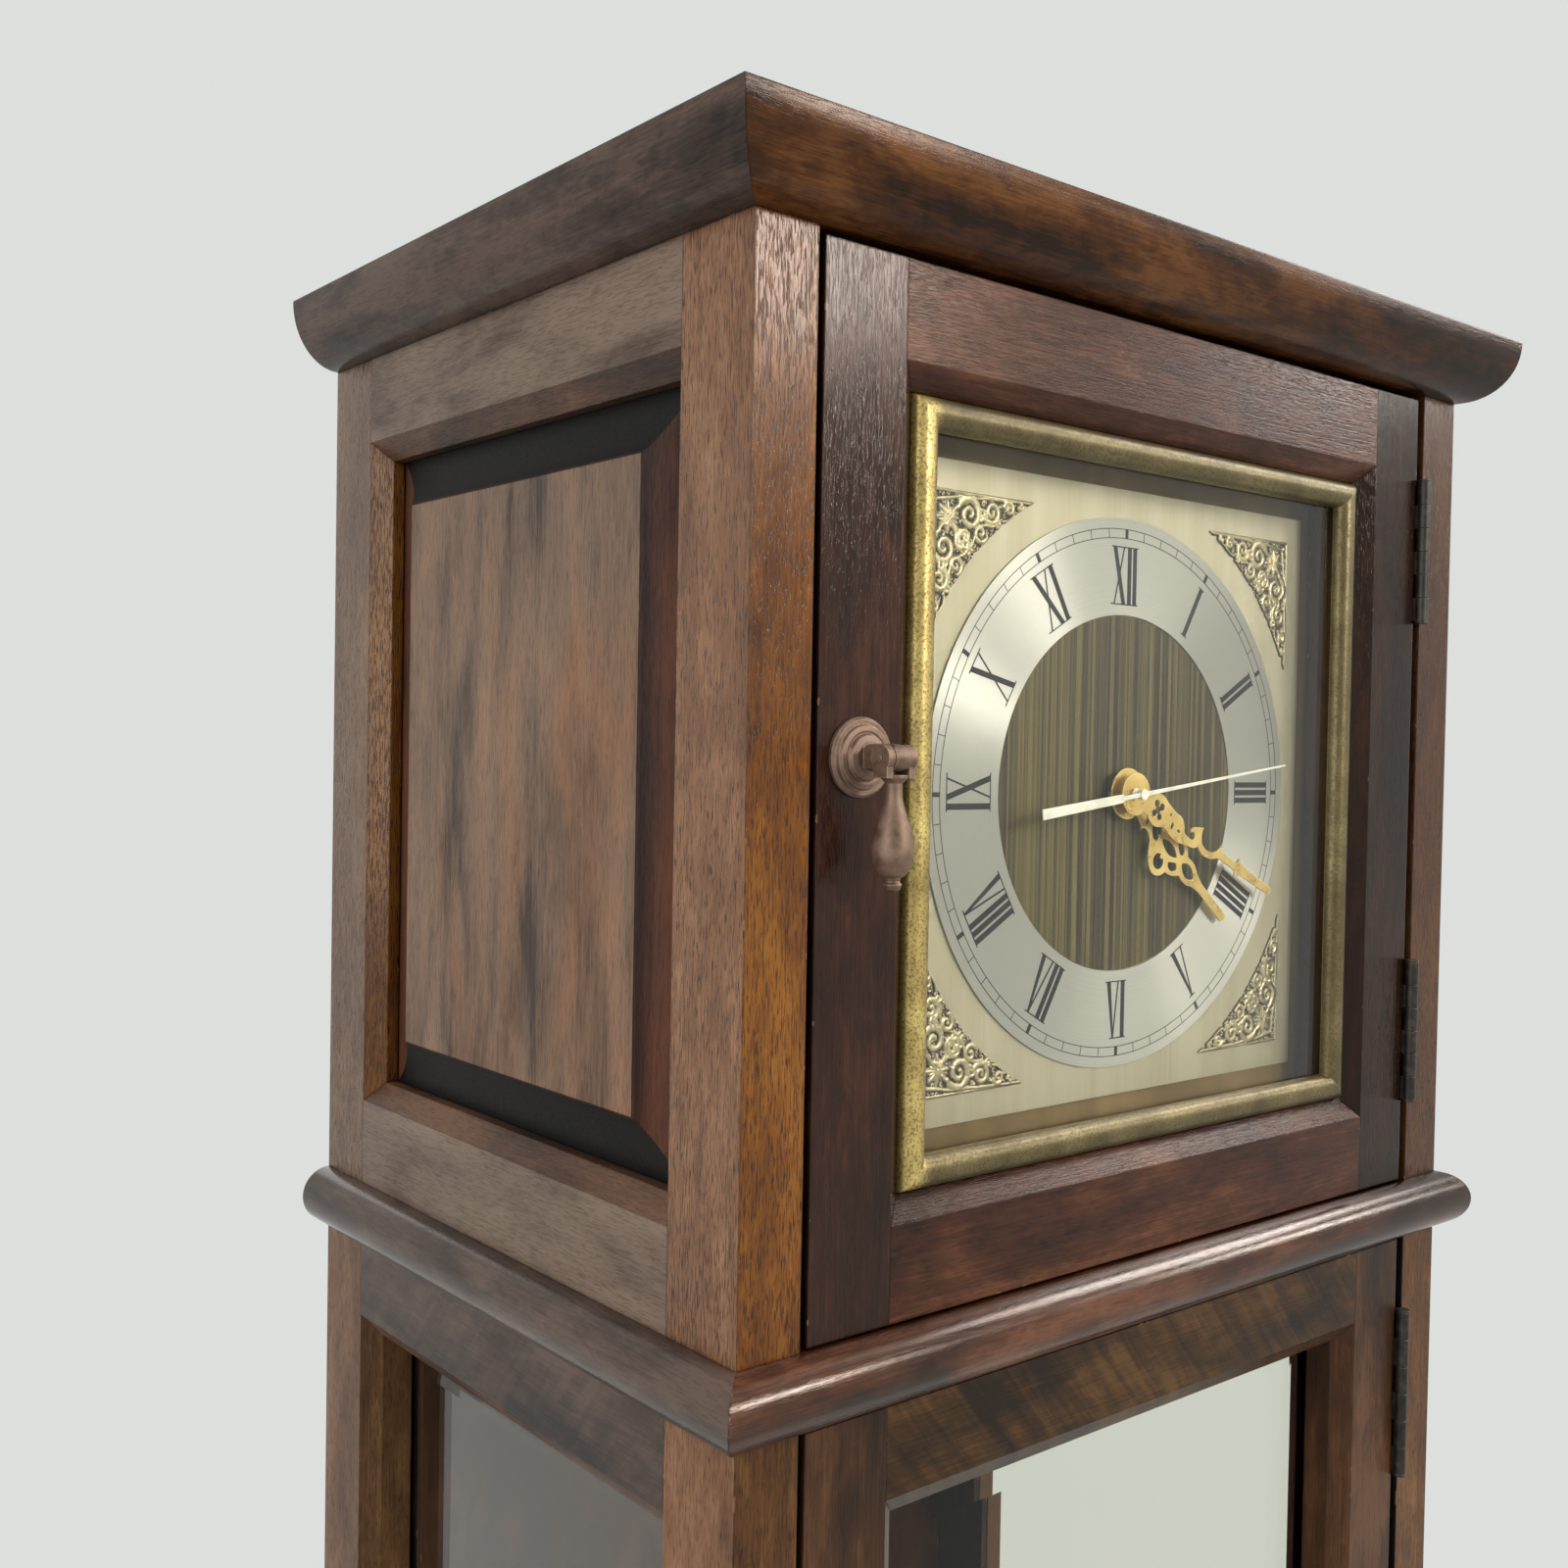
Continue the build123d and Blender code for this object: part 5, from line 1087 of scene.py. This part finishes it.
# Square lamps: name, place, width, power in watts and colour
LAMPS = [
    ("right_ceiling", (2.35, -0.75, 3.25), 0.8, 28, (1.0, 0.985, 0.95)),
    ("right_tube", (2.5, -1.5, 2.5), 0.4, 10, (1.0, 0.975, 0.93)),
    ("front", (1.15, -1.75, 2.36), 0.34, 11, (1.0, 0.975, 0.94)),
    ("key", (0.75, -3.0, 2.25), 0.30, 31, (1.0, 0.98, 0.95)),
    ("left_room", (-2.8, -0.7, 2.2), 2.2, 46, (0.96, 0.98, 1.0)),
    ("ceiling", (0.0, -0.1, 3.6), 1.6, 20, (1.0, 0.99, 0.97)),
    ("back_fill", (0.6, 2.8, 2.2), 2.0, 12, (0.95, 0.97, 1.0)),
]


def make_lamps():
    aim_height = 1.45
    target = Vector((0.0, front_y, aim_height))
    for name, place, width, power, colour in LAMPS:
        data = bpy.data.lights.new(name, "AREA")
        data.shape = "RECTANGLE"
        data.size = width
        data.size_y = width
        data.energy = power
        data.color = colour
        lamp = bpy.data.objects.new(name, data)
        lamp.location = place
        lamp.rotation_euler = (target - Vector(place)).to_track_quat("-Z", "Y").to_euler()
        lamp.visible_camera = False
        lamp.visible_transmission = False
        bpy.context.scene.collection.objects.link(lamp)


# The camera stands close in front of the left corner, at the height of the hood's middle
def make_camera():
    place = Vector((-520.594, -543.236, 1528.771)) * MM
    azimuth = math.radians(-39.152)
    pitch = math.radians(1.283)
    roll = math.radians(0.996)
    level_share = math.cos(pitch)
    ahead = Vector((-math.sin(azimuth) * level_share, math.cos(azimuth) * level_share, -math.sin(pitch)))
    level = ahead.cross(Vector((0, 0, 1))).normalized()
    upright = level.cross(ahead)
    right = math.cos(roll) * level + math.sin(roll) * upright
    up = -math.sin(roll) * level + math.cos(roll) * upright
    data = bpy.data.cameras.new("camera")
    data.sensor_width = 36.0
    data.sensor_fit = "HORIZONTAL"
    data.lens = 37.246
    data.clip_start = 0.01
    camera = bpy.data.objects.new("camera", data)
    turn = Matrix((right, up, -ahead)).transposed()
    camera.matrix_world = Matrix.Translation(place) @ turn.to_4x4()
    bpy.context.scene.collection.objects.link(camera)
    bpy.context.scene.camera = camera


make_floor()
make_world()
make_lamps()
make_camera()
bpy.context.scene.view_settings.view_transform = "Standard"
